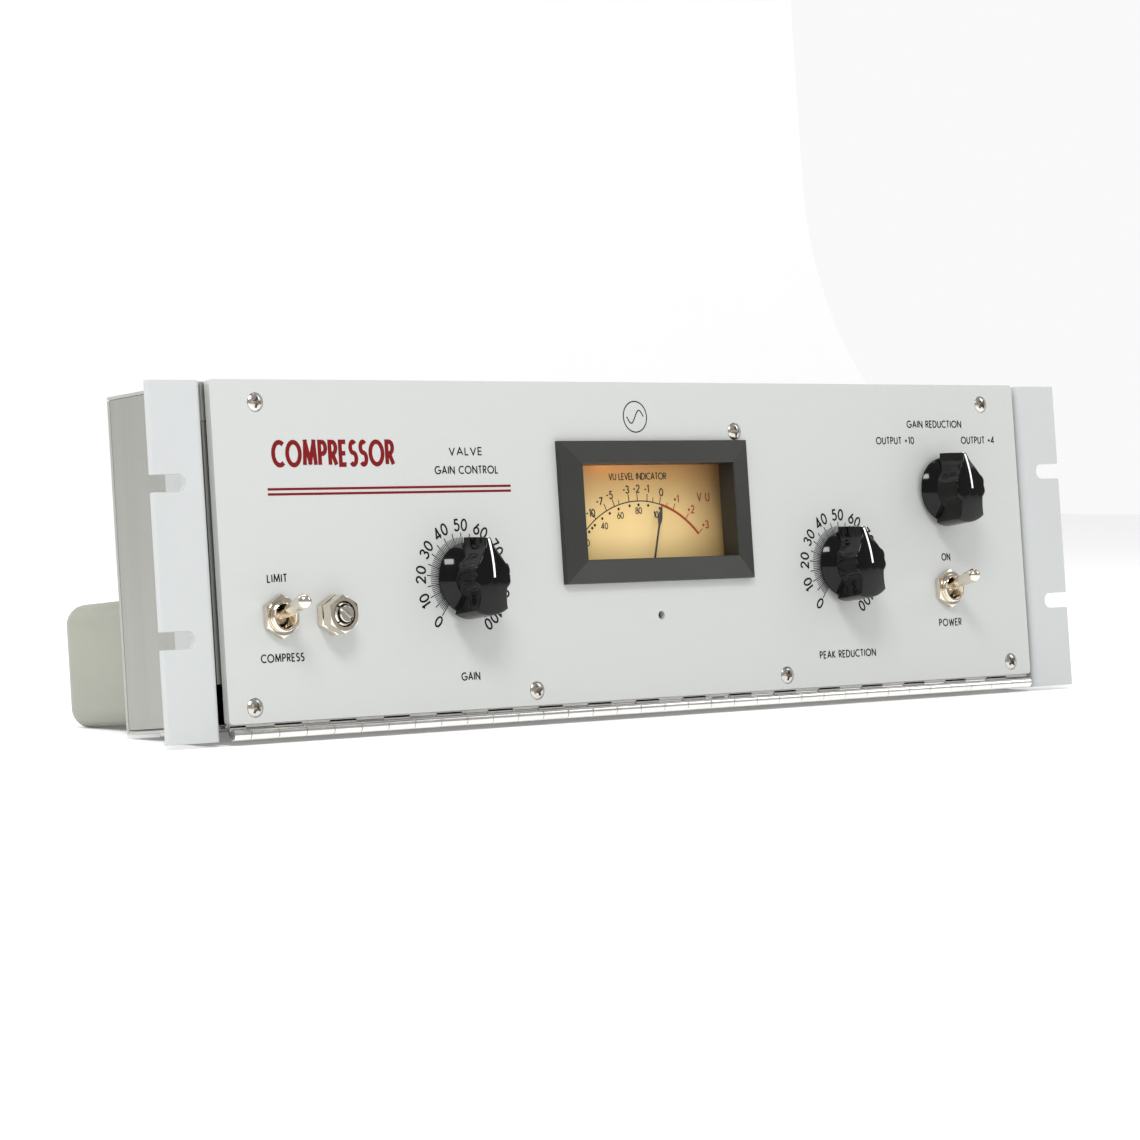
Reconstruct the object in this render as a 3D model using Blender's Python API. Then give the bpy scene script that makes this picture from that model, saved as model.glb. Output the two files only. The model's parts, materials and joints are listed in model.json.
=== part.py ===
"""A three-unit rack compressor with valves, built as separate pieces.

Every size is in millimetres and is scaled to metres where vertices are made. X runs to the right as
seen from the front, Z is up, and a depth counts backwards (+Y) from the front face of the door.
The row frame's origin is under the middle of the bounding box.
"""

import math

import bmesh
import bpy
from mathutils import Matrix, Vector

MM = 0.001
GAP = 0.3  # air left between pieces that touch on the real object

# Rack standard: three units high, 19 inches wide.
RACK_WIDTH = 482.6
RACK_HEIGHT = 132.5
SLOT_SPACING = 57.15
SLOT_HEIGHT = 6.5
SLOT_INNER_X = 227.1
EAR_PLATE = 3.2
EAR_FLANGE_DEPTH = 22.5
EAR_BEND_RADIUS = 3.4

# Case behind the door.
CASE_HALF_WIDTH = 217.5
CASE_DEPTH = 63.0
CASE_FRONT = 4.0
SHEET = 1.6
SIDE_BOTTOM = 6.3
SIDE_TOP = 131.0
COVER_BOTTOM = 4.6
COVER_SHEET = 1.2
CASE_TOP = 132.5
CASE_CORNER_RADIUS = 3.0
TOP_FLANGE_BOTTOM = 118.0
SIDE_NOTCH_TOP = 21.0
SIDE_NOTCH_DEPTH = 16.0
SIDE_LIP = 9.0

# Door and its continuous hinge.
DOOR_HALF_WIDTH = 214.5
DOOR_BOTTOM = 6.0
DOOR_TOP = 132.9
DOOR_PLATE = 3.2
DOOR_CORNER = 1.6
HINGE_DEPTH = 0.25
HINGE_HEIGHT = 2.1
HINGE_HALF_LENGTH = 213.5
FIRST_JOINT_X = -206.0  # between the short first knuckle and the next one
KNUCKLE_RADIUS = 2.1
KNUCKLE_BORE = 1.35
KNUCKLE_PITCH = 12.7
KNUCKLE_GAP = 0.4
HINGE_PIN_RADIUS = 0.95
LEAF = 0.8
LEAF_HEIGHT = 13.4
LEAF_DEPTH = 14.4
KNUCKLE_COUNT = 33
CLOSING_SCREW_X = 194.2
CLOSING_SCREW_Z = 124.4
HINGE_SCREW_X = (-202.5, -67.5, 67.5, 202.5)
HINGE_SCREW_Z = 11.7
LAMP_SCREW = (46.5, 112.9)
SCREW_HEAD_RADIUS = 3.4
SCREW_RADIUS = 1.7

# Controls, as (x, z) on the door.
GAIN = (-100.9, 56.3)
PEAK = (102.4, 56.8)
METER_SELECT = (165.4, 87.2)
LIMIT_TOGGLE = (-189.2, 44.8)
POWER_TOGGLE = (165.8, 44.8)
EMPHASIS = (-165.1, 44.5)
EMPHASIS_SLOT_TURN = 42.0
SHAFT_RADIUS = 3.1
BUSHING_RADIUS = 4.6
BUSHING_REACH = 6.0
PANEL_HOLE_RADIUS = 5.2
POT_RADIUS = 12.0
POT_DEPTH = 13.0
ROTARY_RADIUS = 16.0
ROTARY_DEPTH = 26.0
BODY_FRONT = DOOR_PLATE + GAP

# Knob, measured from its own base plane towards the viewer.
KNOB_BASE = -1.9
KNOB_HEIGHT = 18.1
SKIRT_RADIUS = 13.8
SKIRT_TOP_RADIUS = 9.4
SKIRT_HEIGHT = 5.0
RECESS_END = 6.8  # the hollow under a knob clears the bushing
POINTER_RADIUS = 15.3
GRIP_RADIUS = 8.9
FLUTE_DEPTH = 0.6
FLUTE_PITCH = 37.0
FIRST_LOBE = 43.0

# Toggle switches.
TOGGLE_TILT = 16.0
TOGGLE_PIVOT_DEPTH = 0.5
TOGGLE_LENGTH = 19.8
TOGGLE_BUSHING_RADIUS = 5.95
TOGGLE_BUSHING_REACH = 4.6
TOGGLE_BORE = 4.4
TOGGLE_NUT_FLATS = 14.3
TOGGLE_NUT = 2.4

# Level meter.
METER_Z = 80.9
BEZEL_SIZE = (101.0, 56.7)
BEZEL_OPENING = (81.0, 38.0)
BEZEL_EDGE = 2.5
BEZEL_RIM = 4.6
METER_CUTOUT = (88.0, 45.0)
HOUSING_HALF_WIDTH = 52.0
HOUSING_BOTTOM = 30.0
HOUSING_TOP = 108.0
HOUSING_BACK = 38.0
HOUSING_WALL = 2.0
DIAL_DEPTH = 10.3
GLASS_DEPTH = 4.8
NEEDLE_PIVOT_Z = 41.1
NEEDLE_DEPTH = 8.1
NEEDLE_REACH = 43.2
NEEDLE_TILT = 14.0
ZERO_SCREW_Z = 38.9

# Rear of the case, as (x, z).
REAR = CASE_DEPTH + GAP
TUBES = {"tube_1": -96.0, "tube_2": -54.0, "tube_3": -12.0, "tube_4": 30.0}
TUBE_Z = 92.0
TUBE_RADIUS = 10.2
TUBE_ENDS = {"tube_1": 118.5, "tube_2": 127.0, "tube_3": 115.0, "tube_4": 115.0}
SOCKET_TOP = 68.3
SOCKET_FLANGE = 1.5
OPTICAL_CELL = (80.0, 88.0)
OPTICAL_CELL_END = 139.2
CAPACITOR = (-35.0, 34.0)
OUTPUT_CONNECTOR = (112.0, 36.0)
INPUT_CONNECTOR = (152.0, 36.0)
CONNECTOR_RADIUS = 12.0
LATCH_HALF_WIDTH = 2.4
LATCH_BOTTOM = 10.0
LATCH_TOP = 10.9
LATCH_INNER_END = 58.0
MAINS_INLET = (-172.0, 96.0)
FUSE = (-128.0, 96.0)
BOARD_DEPTH = 44.0

FRONT_REACH = KNOB_HEIGHT - KNOB_BASE
FRONT = (FRONT_REACH - OPTICAL_CELL_END) / 2  # the door's front face, from the origin, along Y

COLOURS = {
    "panel_paint": ((0.66, 0.68, 0.67), 0.4, 0.0),
    "brushed_metal": ((0.62, 0.61, 0.57), 0.35, 1.0),
    "nickel": ((0.72, 0.68, 0.60), 0.18, 1.0),
    "zinc": ((0.60, 0.58, 0.55), 0.3, 1.0),
    "black_bakelite": ((0.012, 0.012, 0.012), 0.12, 0.0),
    "dark_plastic": ((0.05, 0.05, 0.047), 0.4, 0.0),
    "dial_card": ((0.85, 0.68, 0.36), 0.6, 0.0),
    "clear_glass": ((0.9, 0.93, 0.93), 0.03, 0.0),
    "can_paint": ((0.38, 0.40, 0.35), 0.45, 0.0),
    "aluminium": ((0.70, 0.70, 0.70), 0.3, 1.0),
    "board": ((0.22, 0.12, 0.05), 0.5, 0.0),
}


# ---------------------------------------------------------------- mesh helpers


def outward(x, depth, z):
    """A point of the row frame, in metres, from millimetres and a depth behind the door's face."""
    return Vector((x, FRONT + depth, z)) * MM


def along_depth(u, v, w):
    return outward(u, w, v)


def along_x(u, v, w):
    return outward(w, u, v)


def along_z(u, v, w):
    return outward(u, v, w)


def extrude(outline, low, high, to_point=along_depth):
    """A prism: outline is (u, v) points, and low and high its two ends along the third direction."""
    mesh = bmesh.new()
    ends = [[mesh.verts.new(to_point(u, v, w)) for u, v in outline] for w in (low, high)]
    mesh.faces.new(ends[0])
    mesh.faces.new(reversed(ends[1]))
    for i in range(len(outline)):
        j = (i + 1) % len(outline)
        mesh.faces.new((ends[0][j], ends[0][i], ends[1][i], ends[1][j]))
    return mesh


def slab(x0, x1, depth0, depth1, z0, z1):
    return extrude(rectangle(x0, x1, z0, z1), depth0, depth1)


def turned(profile, centre, sides=16, turn=0.0):
    """A shape turned about the depth direction. The profile is (radius, depth) points; it either
    starts and ends on the axis, or is a closed loop clear of it."""
    mesh = bmesh.new()
    closed = profile[0][0] > 0
    rings = []
    for radius, depth in profile:
        if radius == 0:
            rings.append([mesh.verts.new(outward(centre[0], depth, centre[1]))] * sides)
            continue
        ring = []
        for k in range(sides):
            angle = math.radians(turn) + 2 * math.pi * k / sides
            x = centre[0] + radius * math.sin(angle)
            z = centre[1] + radius * math.cos(angle)
            ring.append(mesh.verts.new(outward(x, depth, z)))
        rings.append(ring)
    pairs = list(zip(rings, rings[1:]))
    if closed:
        pairs.append((rings[-1], rings[0]))
    for near, far in pairs:
        for k in range(sides):
            j = (k + 1) % sides
            corners = dict.fromkeys((near[k], near[j], far[j], far[k]))
            mesh.faces.new(corners)
    return mesh


def rectangle(u0, u1, v0, v1):
    return [(u0, v0), (u1, v0), (u1, v1), (u0, v1)]


def rounded_rectangle(u0, u1, v0, v1, radius, steps=3):
    """Corners are arcs of the given radius."""
    corners = ((u1, v1, 0), (u0, v1, 90), (u0, v0, 180), (u1, v0, 270))
    points = []
    for u, v, start in corners:
        centre_u = u - math.copysign(radius, u - (u0 + u1) / 2)
        centre_v = v - math.copysign(radius, v - (v0 + v1) / 2)
        points += arc(centre_u, centre_v, radius, start, start + 90, steps)
    return points


def arc(u, v, radius, start, end, steps):
    """Points on an arc; angles are in degrees, anticlockwise from +u."""
    angles = [math.radians(start + (end - start) * k / steps) for k in range(steps + 1)]
    return [(u + radius * math.cos(a), v + radius * math.sin(a)) for a in angles]


def hexagon(centre, flats, corner_up=True):
    radius = flats / math.sqrt(3)
    first = 90 if corner_up else 60
    return arc(centre[0], centre[1], radius, first, first + 300, 5)


def boolean(base, tool, operation):
    """The EXACT union or difference of two meshes, as a new mesh. Both inputs are used up."""
    pair = []
    for label, mesh in (("base", base), ("tool", tool)):
        bmesh.ops.recalc_face_normals(mesh, faces=mesh.faces)
        data = bpy.data.meshes.new(label)
        mesh.to_mesh(data)
        mesh.free()
        helper = bpy.data.objects.new(label, data)
        bpy.context.scene.collection.objects.link(helper)
        pair.append(helper)
    modifier = pair[0].modifiers.new(operation, "BOOLEAN")
    modifier.operation = operation
    modifier.object = pair[1]
    graph = bpy.context.evaluated_depsgraph_get()
    result = bmesh.new()
    result.from_mesh(pair[0].evaluated_get(graph).to_mesh())
    for helper in pair:
        bpy.data.objects.remove(helper)
    return result


def union(first, *others):
    for other in others:
        first = boolean(first, other, "UNION")
    return first


def cut(base, *tools):
    for tool in tools:
        base = boolean(base, tool, "DIFFERENCE")
    return base


def together(*meshes):
    """Several shapes in one mesh, for a tool that cuts in several places at once."""
    joined = bmesh.new()
    for mesh in meshes:
        data = bpy.data.meshes.new("shape")
        mesh.to_mesh(data)
        mesh.free()
        joined.from_mesh(data)
        bpy.data.meshes.remove(data)
    return joined


def round_edges(mesh, radius, segments, choose):
    """Bevels the edges for which choose(edge) is true."""
    edges = [edge for edge in mesh.edges if choose(edge)]
    bmesh.ops.bevel(
        mesh, geom=edges, offset=radius * MM, segments=segments, profile=0.5, affect="EDGES"
    )
    return mesh


def material(name):
    colour, roughness, metallic = COLOURS[name]
    found = bpy.data.materials.get(name)
    if found:
        return found
    made = bpy.data.materials.new(name)
    made.use_nodes = True
    shader = made.node_tree.nodes["Principled BSDF"]
    shader.inputs["Base Color"].default_value = (*colour, 1)
    shader.inputs["Roughness"].default_value = roughness
    shader.inputs["Metallic"].default_value = metallic
    return made


def place(name, mesh, finish, origin, parent=None, smooth=30):
    """Makes the named object. Its origin is (x, depth, z), which is on the joint's axis if it moves."""
    spot = outward(*origin)
    bmesh.ops.translate(mesh, verts=mesh.verts, vec=-spot)
    bmesh.ops.recalc_face_normals(mesh, faces=mesh.faces)
    data = bpy.data.meshes.new(name)
    mesh.to_mesh(data)
    mesh.free()
    return put(name, data, finish, spot, parent, smooth)


def put(name, data, finish, spot, parent=None, smooth=30):
    if not data.materials:
        data.materials.append(material(finish))
    data.shade_smooth()
    data.set_sharp_from_angle(angle=math.radians(smooth))
    piece = bpy.data.objects.new(name, data)
    bpy.context.scene.collection.objects.link(piece)
    piece.location = spot
    if parent:
        piece.parent = parent
        piece.matrix_parent_inverse = Matrix.Translation(-parent.location)
    return piece


def pivot(name, origin, parent=None):
    """An empty on a joint's axis."""
    empty = bpy.data.objects.new(name, None)
    bpy.context.scene.collection.objects.link(empty)
    empty.location = outward(*origin)
    if parent:
        empty.parent = parent
        empty.matrix_parent_inverse = Matrix.Translation(-parent.location)
    return empty


# ---------------------------------------------------------------- case


def rack_ear(side):
    """An angle bracket: side is -1 on the left and 1 on the right."""
    inner = CASE_HALF_WIDTH + GAP
    outer = RACK_WIDTH / 2
    bend = arc(inner + EAR_BEND_RADIUS, EAR_BEND_RADIUS, EAR_BEND_RADIUS, 180, 270, 4)
    section = [
        (inner, EAR_FLANGE_DEPTH),
        *bend,
        (outer, 0),
        (outer, EAR_PLATE),
        (inner + EAR_PLATE, EAR_PLATE),
        (inner + EAR_PLATE, EAR_FLANGE_DEPTH),
    ]
    bracket = extrude([(side * x, d) for x, d in section], 0, RACK_HEIGHT, along_z)
    slots = []
    radius = SLOT_HEIGHT / 2
    for middle in (RACK_HEIGHT / 2 - SLOT_SPACING / 2, RACK_HEIGHT / 2 + SLOT_SPACING / 2):
        rounded_end = arc(SLOT_INNER_X + radius, middle, radius, 270, 90, 6)
        outline = [(outer + 1, middle - radius), *rounded_end, (outer + 1, middle + radius)]
        slots.append(extrude([(side * x, z) for x, z in outline], -1, EAR_PLATE + 1))
    return cut(bracket, together(*slots))


def side_panel(side):
    """The side wall, with a lip turned in along its front edge and a notch that clears the hinge."""
    radius = CASE_CORNER_RADIUS
    back = CASE_DEPTH - SHEET - GAP
    outline = [
        (CASE_FRONT, SIDE_NOTCH_TOP),
        (SIDE_NOTCH_DEPTH, SIDE_NOTCH_TOP),
        (SIDE_NOTCH_DEPTH, SIDE_BOTTOM),
        *arc(back - radius, SIDE_BOTTOM + radius, radius, 270, 360, 3),
        *arc(back - radius, SIDE_TOP - radius, radius, 0, 90, 3),
        (CASE_FRONT, SIDE_TOP),
    ]
    wall = extrude(outline, side * (CASE_HALF_WIDTH - SHEET), side * CASE_HALF_WIDTH, along_x)
    lip_ends = sorted((side * (CASE_HALF_WIDTH - SIDE_LIP), side * (CASE_HALF_WIDTH - SHEET / 2)))
    lip = slab(*lip_ends, CASE_FRONT, CASE_FRONT + SHEET, SIDE_NOTCH_TOP, TOP_FLANGE_BOTTOM - GAP)
    return union(wall, lip)


def rear_panel():
    bottom = COVER_BOTTOM + COVER_SHEET + GAP
    top = CASE_TOP - COVER_SHEET - GAP
    plate = slab(-CASE_HALF_WIDTH, CASE_HALF_WIDTH, CASE_DEPTH - SHEET, CASE_DEPTH, bottom, top)
    through = (CASE_DEPTH - SHEET - 1, CASE_DEPTH + 1)

    def round_hole(centre, radius, sides=16):
        low, high = through
        return turned([(0, low), (radius, low), (radius, high), (0, high)], centre, sides)

    holes = [round_hole(OPTICAL_CELL, 15.4)]
    holes.append(round_hole(CAPACITOR, 6.0, 12))
    holes += [round_hole(c, CONNECTOR_RADIUS + 0.6) for c in (INPUT_CONNECTOR, OUTPUT_CONNECTOR)]
    holes.append(round_hole(FUSE, 7.0, 12))
    x, z = MAINS_INLET
    holes.append(slab(x - 14.5, x + 14.5, *through, z - 10.5, z + 10.5))
    holes += [round_hole(c, 5.0, 10) for c in ((-160.0, 33.0), (-83.0, 34.0), (19.0, 34.0))]
    return cut(plate, together(*holes))


def closing_screw_hole(side, radius, low, high):
    return turned(
        [(0, low), (radius, low), (radius, high), (0, high)],
        (side * CLOSING_SCREW_X, CLOSING_SCREW_Z),
        12,
    )


def top_cover():
    """The lid, with a flange turned down behind the door for the closing screws."""
    section = [
        (CASE_FRONT, CASE_TOP),
        (CASE_FRONT, TOP_FLANGE_BOTTOM),
        (CASE_FRONT + SHEET, TOP_FLANGE_BOTTOM),
        (CASE_FRONT + SHEET, CASE_TOP - COVER_SHEET),
        (CASE_DEPTH, CASE_TOP - COVER_SHEET),
        (CASE_DEPTH, CASE_TOP),
    ]
    half = CASE_HALF_WIDTH
    sheet = extrude(section, -half, half, along_x)
    inner = half - SHEET - GAP
    corners = [
        slab(side * inner, side * (half + 1), CASE_FRONT - 1, CASE_FRONT + SHEET + 1,
             TOP_FLANGE_BOTTOM - 1, SIDE_TOP + GAP / 2)
        for side in (-1, 1)
    ]
    holes = [closing_screw_hole(side, 2.9, CASE_FRONT - 1, CASE_FRONT + SHEET + 1)
             for side in (-1, 1)]
    return cut(sheet, together(*corners), together(*holes))


def bottom_cover():
    return slab(-CASE_HALF_WIDTH, CASE_HALF_WIDTH, CASE_FRONT + 2, CASE_DEPTH,
                COVER_BOTTOM, COVER_BOTTOM + COVER_SHEET)


# ---------------------------------------------------------------- hinge and door


def knuckle(x0, x1):
    """One tube of the continuous hinge, round its pin."""
    outer = arc(HINGE_DEPTH, HINGE_HEIGHT, KNUCKLE_RADIUS, 0, 324, 9)
    bore = arc(HINGE_DEPTH, HINGE_HEIGHT, KNUCKLE_BORE, 0, 315, 7)
    return extrude(outer, x0, x1, along_x), extrude(bore, x0 - 1, x1 + 1, along_x)


def knuckle_spans(fixed):
    """The (x0, x1) of each leaf's knuckles. The door's leaf has the short one at the left end."""
    spans = [] if fixed else [(-HINGE_HALF_LENGTH, FIRST_JOINT_X - KNUCKLE_GAP)]
    for k in range(0 if fixed else 1, KNUCKLE_COUNT, 2):
        start = FIRST_JOINT_X + k * KNUCKLE_PITCH
        end = start + KNUCKLE_PITCH - KNUCKLE_GAP
        spans.append((start, HINGE_HALF_LENGTH if k == KNUCKLE_COUNT - 1 else end))
    return spans


def hinge_leaf(fixed):
    """A leaf and its knuckles. The fixed one lies under the case, and the door's one stands
    behind the door, stepped forwards under its bottom edge."""
    if fixed:
        top = HINGE_HEIGHT + KNUCKLE_RADIUS
        front = HINGE_DEPTH + KNUCKLE_RADIUS + 0.5
        plate = slab(-HINGE_HALF_LENGTH, HINGE_HALF_LENGTH, front, front + LEAF_DEPTH, top - LEAF, top)
        finger = (HINGE_DEPTH, front + LEAF, top - LEAF, top)
    else:
        back = HINGE_DEPTH + KNUCKLE_RADIUS
        step_bottom = HINGE_HEIGHT + KNUCKLE_RADIUS + 0.4
        step_top = DOOR_BOTTOM - GAP
        behind = BODY_FRONT + LEAF
        section = [
            (back - LEAF, step_bottom),
            (behind, step_bottom),
            (behind, step_bottom + LEAF_HEIGHT),
            (BODY_FRONT, step_bottom + LEAF_HEIGHT),
            (BODY_FRONT, step_top),
            (back - LEAF, step_top),
        ]
        plate = extrude(section, -HINGE_HALF_LENGTH, HINGE_HALF_LENGTH, along_x)
        finger = (back - LEAF, back, HINGE_HEIGHT, step_bottom + LEAF / 2)
    tubes, bores = zip(*[knuckle(x0, x1) for x0, x1 in knuckle_spans(fixed)])
    fingers = [slab(x0, x1, *finger) for x0, x1 in knuckle_spans(fixed)]
    leaf = union(plate, together(*fingers), together(*tubes))
    leaf = cut(leaf, together(*bores))
    if not fixed:
        screws = [turned([(0, 3), (2.0, 3), (2.0, 6), (0, 6)], (x, HINGE_SCREW_Z), 10)
                  for x in HINGE_SCREW_X]
        leaf = cut(leaf, together(*screws))
    return leaf


def countersink(centre):
    """The hole for an oval-head screw, through the door."""
    rim = SCREW_HEAD_RADIUS + GAP
    neck = SCREW_RADIUS + GAP
    profile = [(0, -1), (rim, -1), (rim, 0.25), (neck, 2.1), (neck, 4), (0, 4)]
    return turned(profile, centre, 12)


def door_panel():
    outline = rounded_rectangle(-DOOR_HALF_WIDTH, DOOR_HALF_WIDTH, DOOR_BOTTOM, DOOR_TOP, DOOR_CORNER, 3)
    plate = extrude(outline, 0, DOOR_PLATE)
    width, height = METER_CUTOUT
    window = slab(-width / 2, width / 2, -1, DOOR_PLATE + 1,
                  METER_Z - height / 2, METER_Z + height / 2)

    def hole(centre, radius):
        return turned([(0, -1), (radius, -1), (radius, 5), (0, 5)], centre, 16)

    holes = [hole(c, PANEL_HOLE_RADIUS) for c in (GAIN, PEAK, METER_SELECT, EMPHASIS)]
    holes += [hole(c, TOGGLE_BUSHING_RADIUS + 0.5) for c in (LIMIT_TOGGLE, POWER_TOGGLE)]
    holes.append(hole((0, ZERO_SCREW_Z), 1.75))
    screws = [(x, HINGE_SCREW_Z) for x in HINGE_SCREW_X]
    screws += [(side * CLOSING_SCREW_X, CLOSING_SCREW_Z) for side in (-1, 1)]
    screws.append(LAMP_SCREW)
    return cut(plate, window, together(*holes), together(*[countersink(c) for c in screws]))


def oval_head_screw(centre, end):
    """An oval-head screw in a countersink of the door, reaching back to the given depth."""
    profile = [
        (0, -0.8),
        (1.9, -0.6),
        (SCREW_HEAD_RADIUS, 0.1),
        (SCREW_RADIUS, 1.9),
        (SCREW_RADIUS, end - 0.8),
        (1.1, end),
        (0, end),
    ]
    return turned(profile, centre, 10)


# ---------------------------------------------------------------- controls


def potentiometer(centre, radius, depth, reach=BUSHING_REACH, bushing=BUSHING_RADIUS):
    """A round body behind the door, with a bushing through it and a blind bore for the shaft."""
    bore = SHAFT_RADIUS + 0.5
    back = BODY_FRONT + depth
    profile = [
        (0, back - 2),
        (bore, back - 2),
        (bore, -reach),
        (bushing, -reach),
        (bushing, BODY_FRONT),
        (radius, BODY_FRONT),
        (radius, back - 1),
        (radius - 1, back),
        (0, back),
    ]
    return turned(profile, centre, 16)


def shaft(centre, front, back):
    ease = 0.4
    profile = [
        (0, front),
        (SHAFT_RADIUS - ease, front),
        (SHAFT_RADIUS, front + ease),
        (SHAFT_RADIUS, back),
        (0, back),
    ]
    return turned(profile, centre, 12)


def grip_outline():
    """The knob's grip from the front: a pointer, fluted sides and a tail that flares out."""
    side = [(1.2, POINTER_RADIUS), (1.6, 12.6), (2.5, 10.3), (4.0, 8.7)]
    for degrees in range(36, 129, 8):
        wave = math.cos(math.radians((degrees - FIRST_LOBE) * 360 / FLUTE_PITCH))
        radius = GRIP_RADIUS + FLUTE_DEPTH * wave
        angle = math.radians(degrees)
        side.append((radius * math.sin(angle), radius * math.cos(angle)))
    side += [(6.7, -8.4)]
    side += [(POINTER_RADIUS * math.sin(math.radians(a)), POINTER_RADIUS * math.cos(math.radians(a)))
             for a in (149, 160, 170)]
    mirrored = [(-x, z) for x, z in reversed(side)]
    return [*side, (0, -POINTER_RADIUS), *mirrored]


def knob_mesh():
    """A skirted pointer knob about the origin's axis, hollow underneath, with a blind bore."""
    face = KNOB_BASE - KNOB_HEIGHT
    skirt = turned(
        [
            (0, KNOB_BASE),
            (SKIRT_RADIUS, KNOB_BASE),
            (SKIRT_RADIUS, KNOB_BASE - 0.8),
            (SKIRT_TOP_RADIUS, KNOB_BASE - SKIRT_HEIGHT),
            (SKIRT_TOP_RADIUS - 2, KNOB_BASE - SKIRT_HEIGHT - 1),
            (0, KNOB_BASE - SKIRT_HEIGHT - 1),
        ],
        (0, 0),
        24,
    )
    grip = extrude(grip_outline(), KNOB_BASE - 1.2, face)
    bore = SHAFT_RADIUS + 0.55
    recess = turned(
        [
            (0, KNOB_BASE + 1),
            (8.0, KNOB_BASE + 1),
            (8.0, -RECESS_END),
            (bore, -RECESS_END),
            (bore, face + 3.5),
            (0, face + 3.5),
        ],
        (0, 0),
        12,
    )
    return cut(union(skirt, grip), recess)


def toggle_switch(centre):
    """The switch: a box behind the door, and a bushing with a wide mouth for the lever."""
    x, z = centre
    body = slab(x - 6.5, x + 6.5, BODY_FRONT, BODY_FRONT + 19, z - 14, z + 14)
    bushing = turned(
        [
            (0, BODY_FRONT + 2),
            (TOGGLE_BUSHING_RADIUS, BODY_FRONT + 2),
            (TOGGLE_BUSHING_RADIUS, -TOGGLE_BUSHING_REACH + 0.5),
            (TOGGLE_BUSHING_RADIUS - 0.5, -TOGGLE_BUSHING_REACH),
            (0, -TOGGLE_BUSHING_REACH),
        ],
        centre,
        16,
    )
    mouth = turned(
        [(0, -8), (TOGGLE_BORE, -8), (TOGGLE_BORE, BODY_FRONT + 8), (0, BODY_FRONT + 8)],
        centre,
        12,
    )
    return cut(union(body, bushing), mouth)


def toggle_lever(centre):
    """A bat handle on a ball, tipped up about the ball's centre."""
    pivot_point = outward(centre[0], TOGGLE_PIVOT_DEPTH, centre[1])
    ball = 3.2
    neck = 1.9
    tip = 2.85
    profile = [(0, ball + 2.2), (1.3, ball + 2.0), (1.3, 2.8)]
    profile += [(ball * math.sin(a), ball * math.cos(a))
                for a in (math.radians(d) for d in (45, 90, 125))]
    profile += [(neck, -3.6), (neck, -6.0), (tip, -TOGGLE_LENGTH + tip)]
    profile += [(tip * math.cos(a), -TOGGLE_LENGTH + tip * (1 - math.sin(a)))
                for a in (math.radians(35), math.radians(65))]
    profile.append((0, -TOGGLE_LENGTH))
    profile = [(r, d + TOGGLE_PIVOT_DEPTH) for r, d in profile]
    lever = turned(profile, centre, 12)
    tilt = Matrix.Rotation(math.radians(-TOGGLE_TILT), 4, "X")
    bmesh.ops.transform(
        lever,
        matrix=Matrix.Translation(pivot_point) @ tilt @ Matrix.Translation(-pivot_point),
        verts=lever.verts,
    )
    return lever


def hex_nut(centre, flats, back, front, bore, sides=16):
    nut = extrude(hexagon(centre, flats), back, front)
    hole = turned([(0, back + 1), (bore, back + 1), (bore, front - 1), (0, front - 1)], centre, sides)
    return cut(nut, hole)


# ---------------------------------------------------------------- level meter


def meter_bezel():
    """A picture frame that rises to its inner rim, with a collar through the door."""
    width, height = BEZEL_SIZE
    open_width, open_height = BEZEL_OPENING
    collar = 1.6
    rings = (
        (open_width, open_height, GLASS_DEPTH - GAP),
        (open_width + 2 * collar, open_height + 2 * collar, GLASS_DEPTH - GAP),
        (open_width + 2 * collar, open_height + 2 * collar, -GAP),
        (width, height, -GAP),
        (width, height, -BEZEL_EDGE),
        (open_width, open_height, -BEZEL_RIM),
    )
    mesh = bmesh.new()
    loops = []
    for ring_width, ring_height, depth in rings:
        corners = rectangle(-ring_width / 2, ring_width / 2,
                            METER_Z - ring_height / 2, METER_Z + ring_height / 2)
        loops.append([mesh.verts.new(outward(x, depth, z)) for x, z in corners])
    for near, far in zip(loops, loops[1:] + loops[:1]):
        for k in range(4):
            j = (k + 1) % 4
            mesh.faces.new((near[k], near[j], far[j], far[k]))
    return mesh


def meter_housing():
    """A tub behind the door, open towards it."""
    half = HOUSING_HALF_WIDTH
    outer = slab(-half, half, BODY_FRONT, HOUSING_BACK, HOUSING_BOTTOM, HOUSING_TOP)
    inner = slab(-half + HOUSING_WALL, half - HOUSING_WALL, BODY_FRONT - 1,
                 HOUSING_BACK - HOUSING_WALL,
                 HOUSING_BOTTOM + HOUSING_WALL, HOUSING_TOP - HOUSING_WALL)
    return cut(outer, inner)


def meter_glass():
    width, height = METER_CUTOUT
    return slab(-width / 2, width / 2, GLASS_DEPTH, GLASS_DEPTH + 1.2,
                METER_Z - height / 2, METER_Z + height / 2)


def meter_dial():
    half = HOUSING_HALF_WIDTH - HOUSING_WALL - GAP
    return slab(-half, half, DIAL_DEPTH, DIAL_DEPTH + 0.8, NEEDLE_PIVOT_Z + 5,
                HOUSING_TOP - HOUSING_WALL - GAP)


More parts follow.
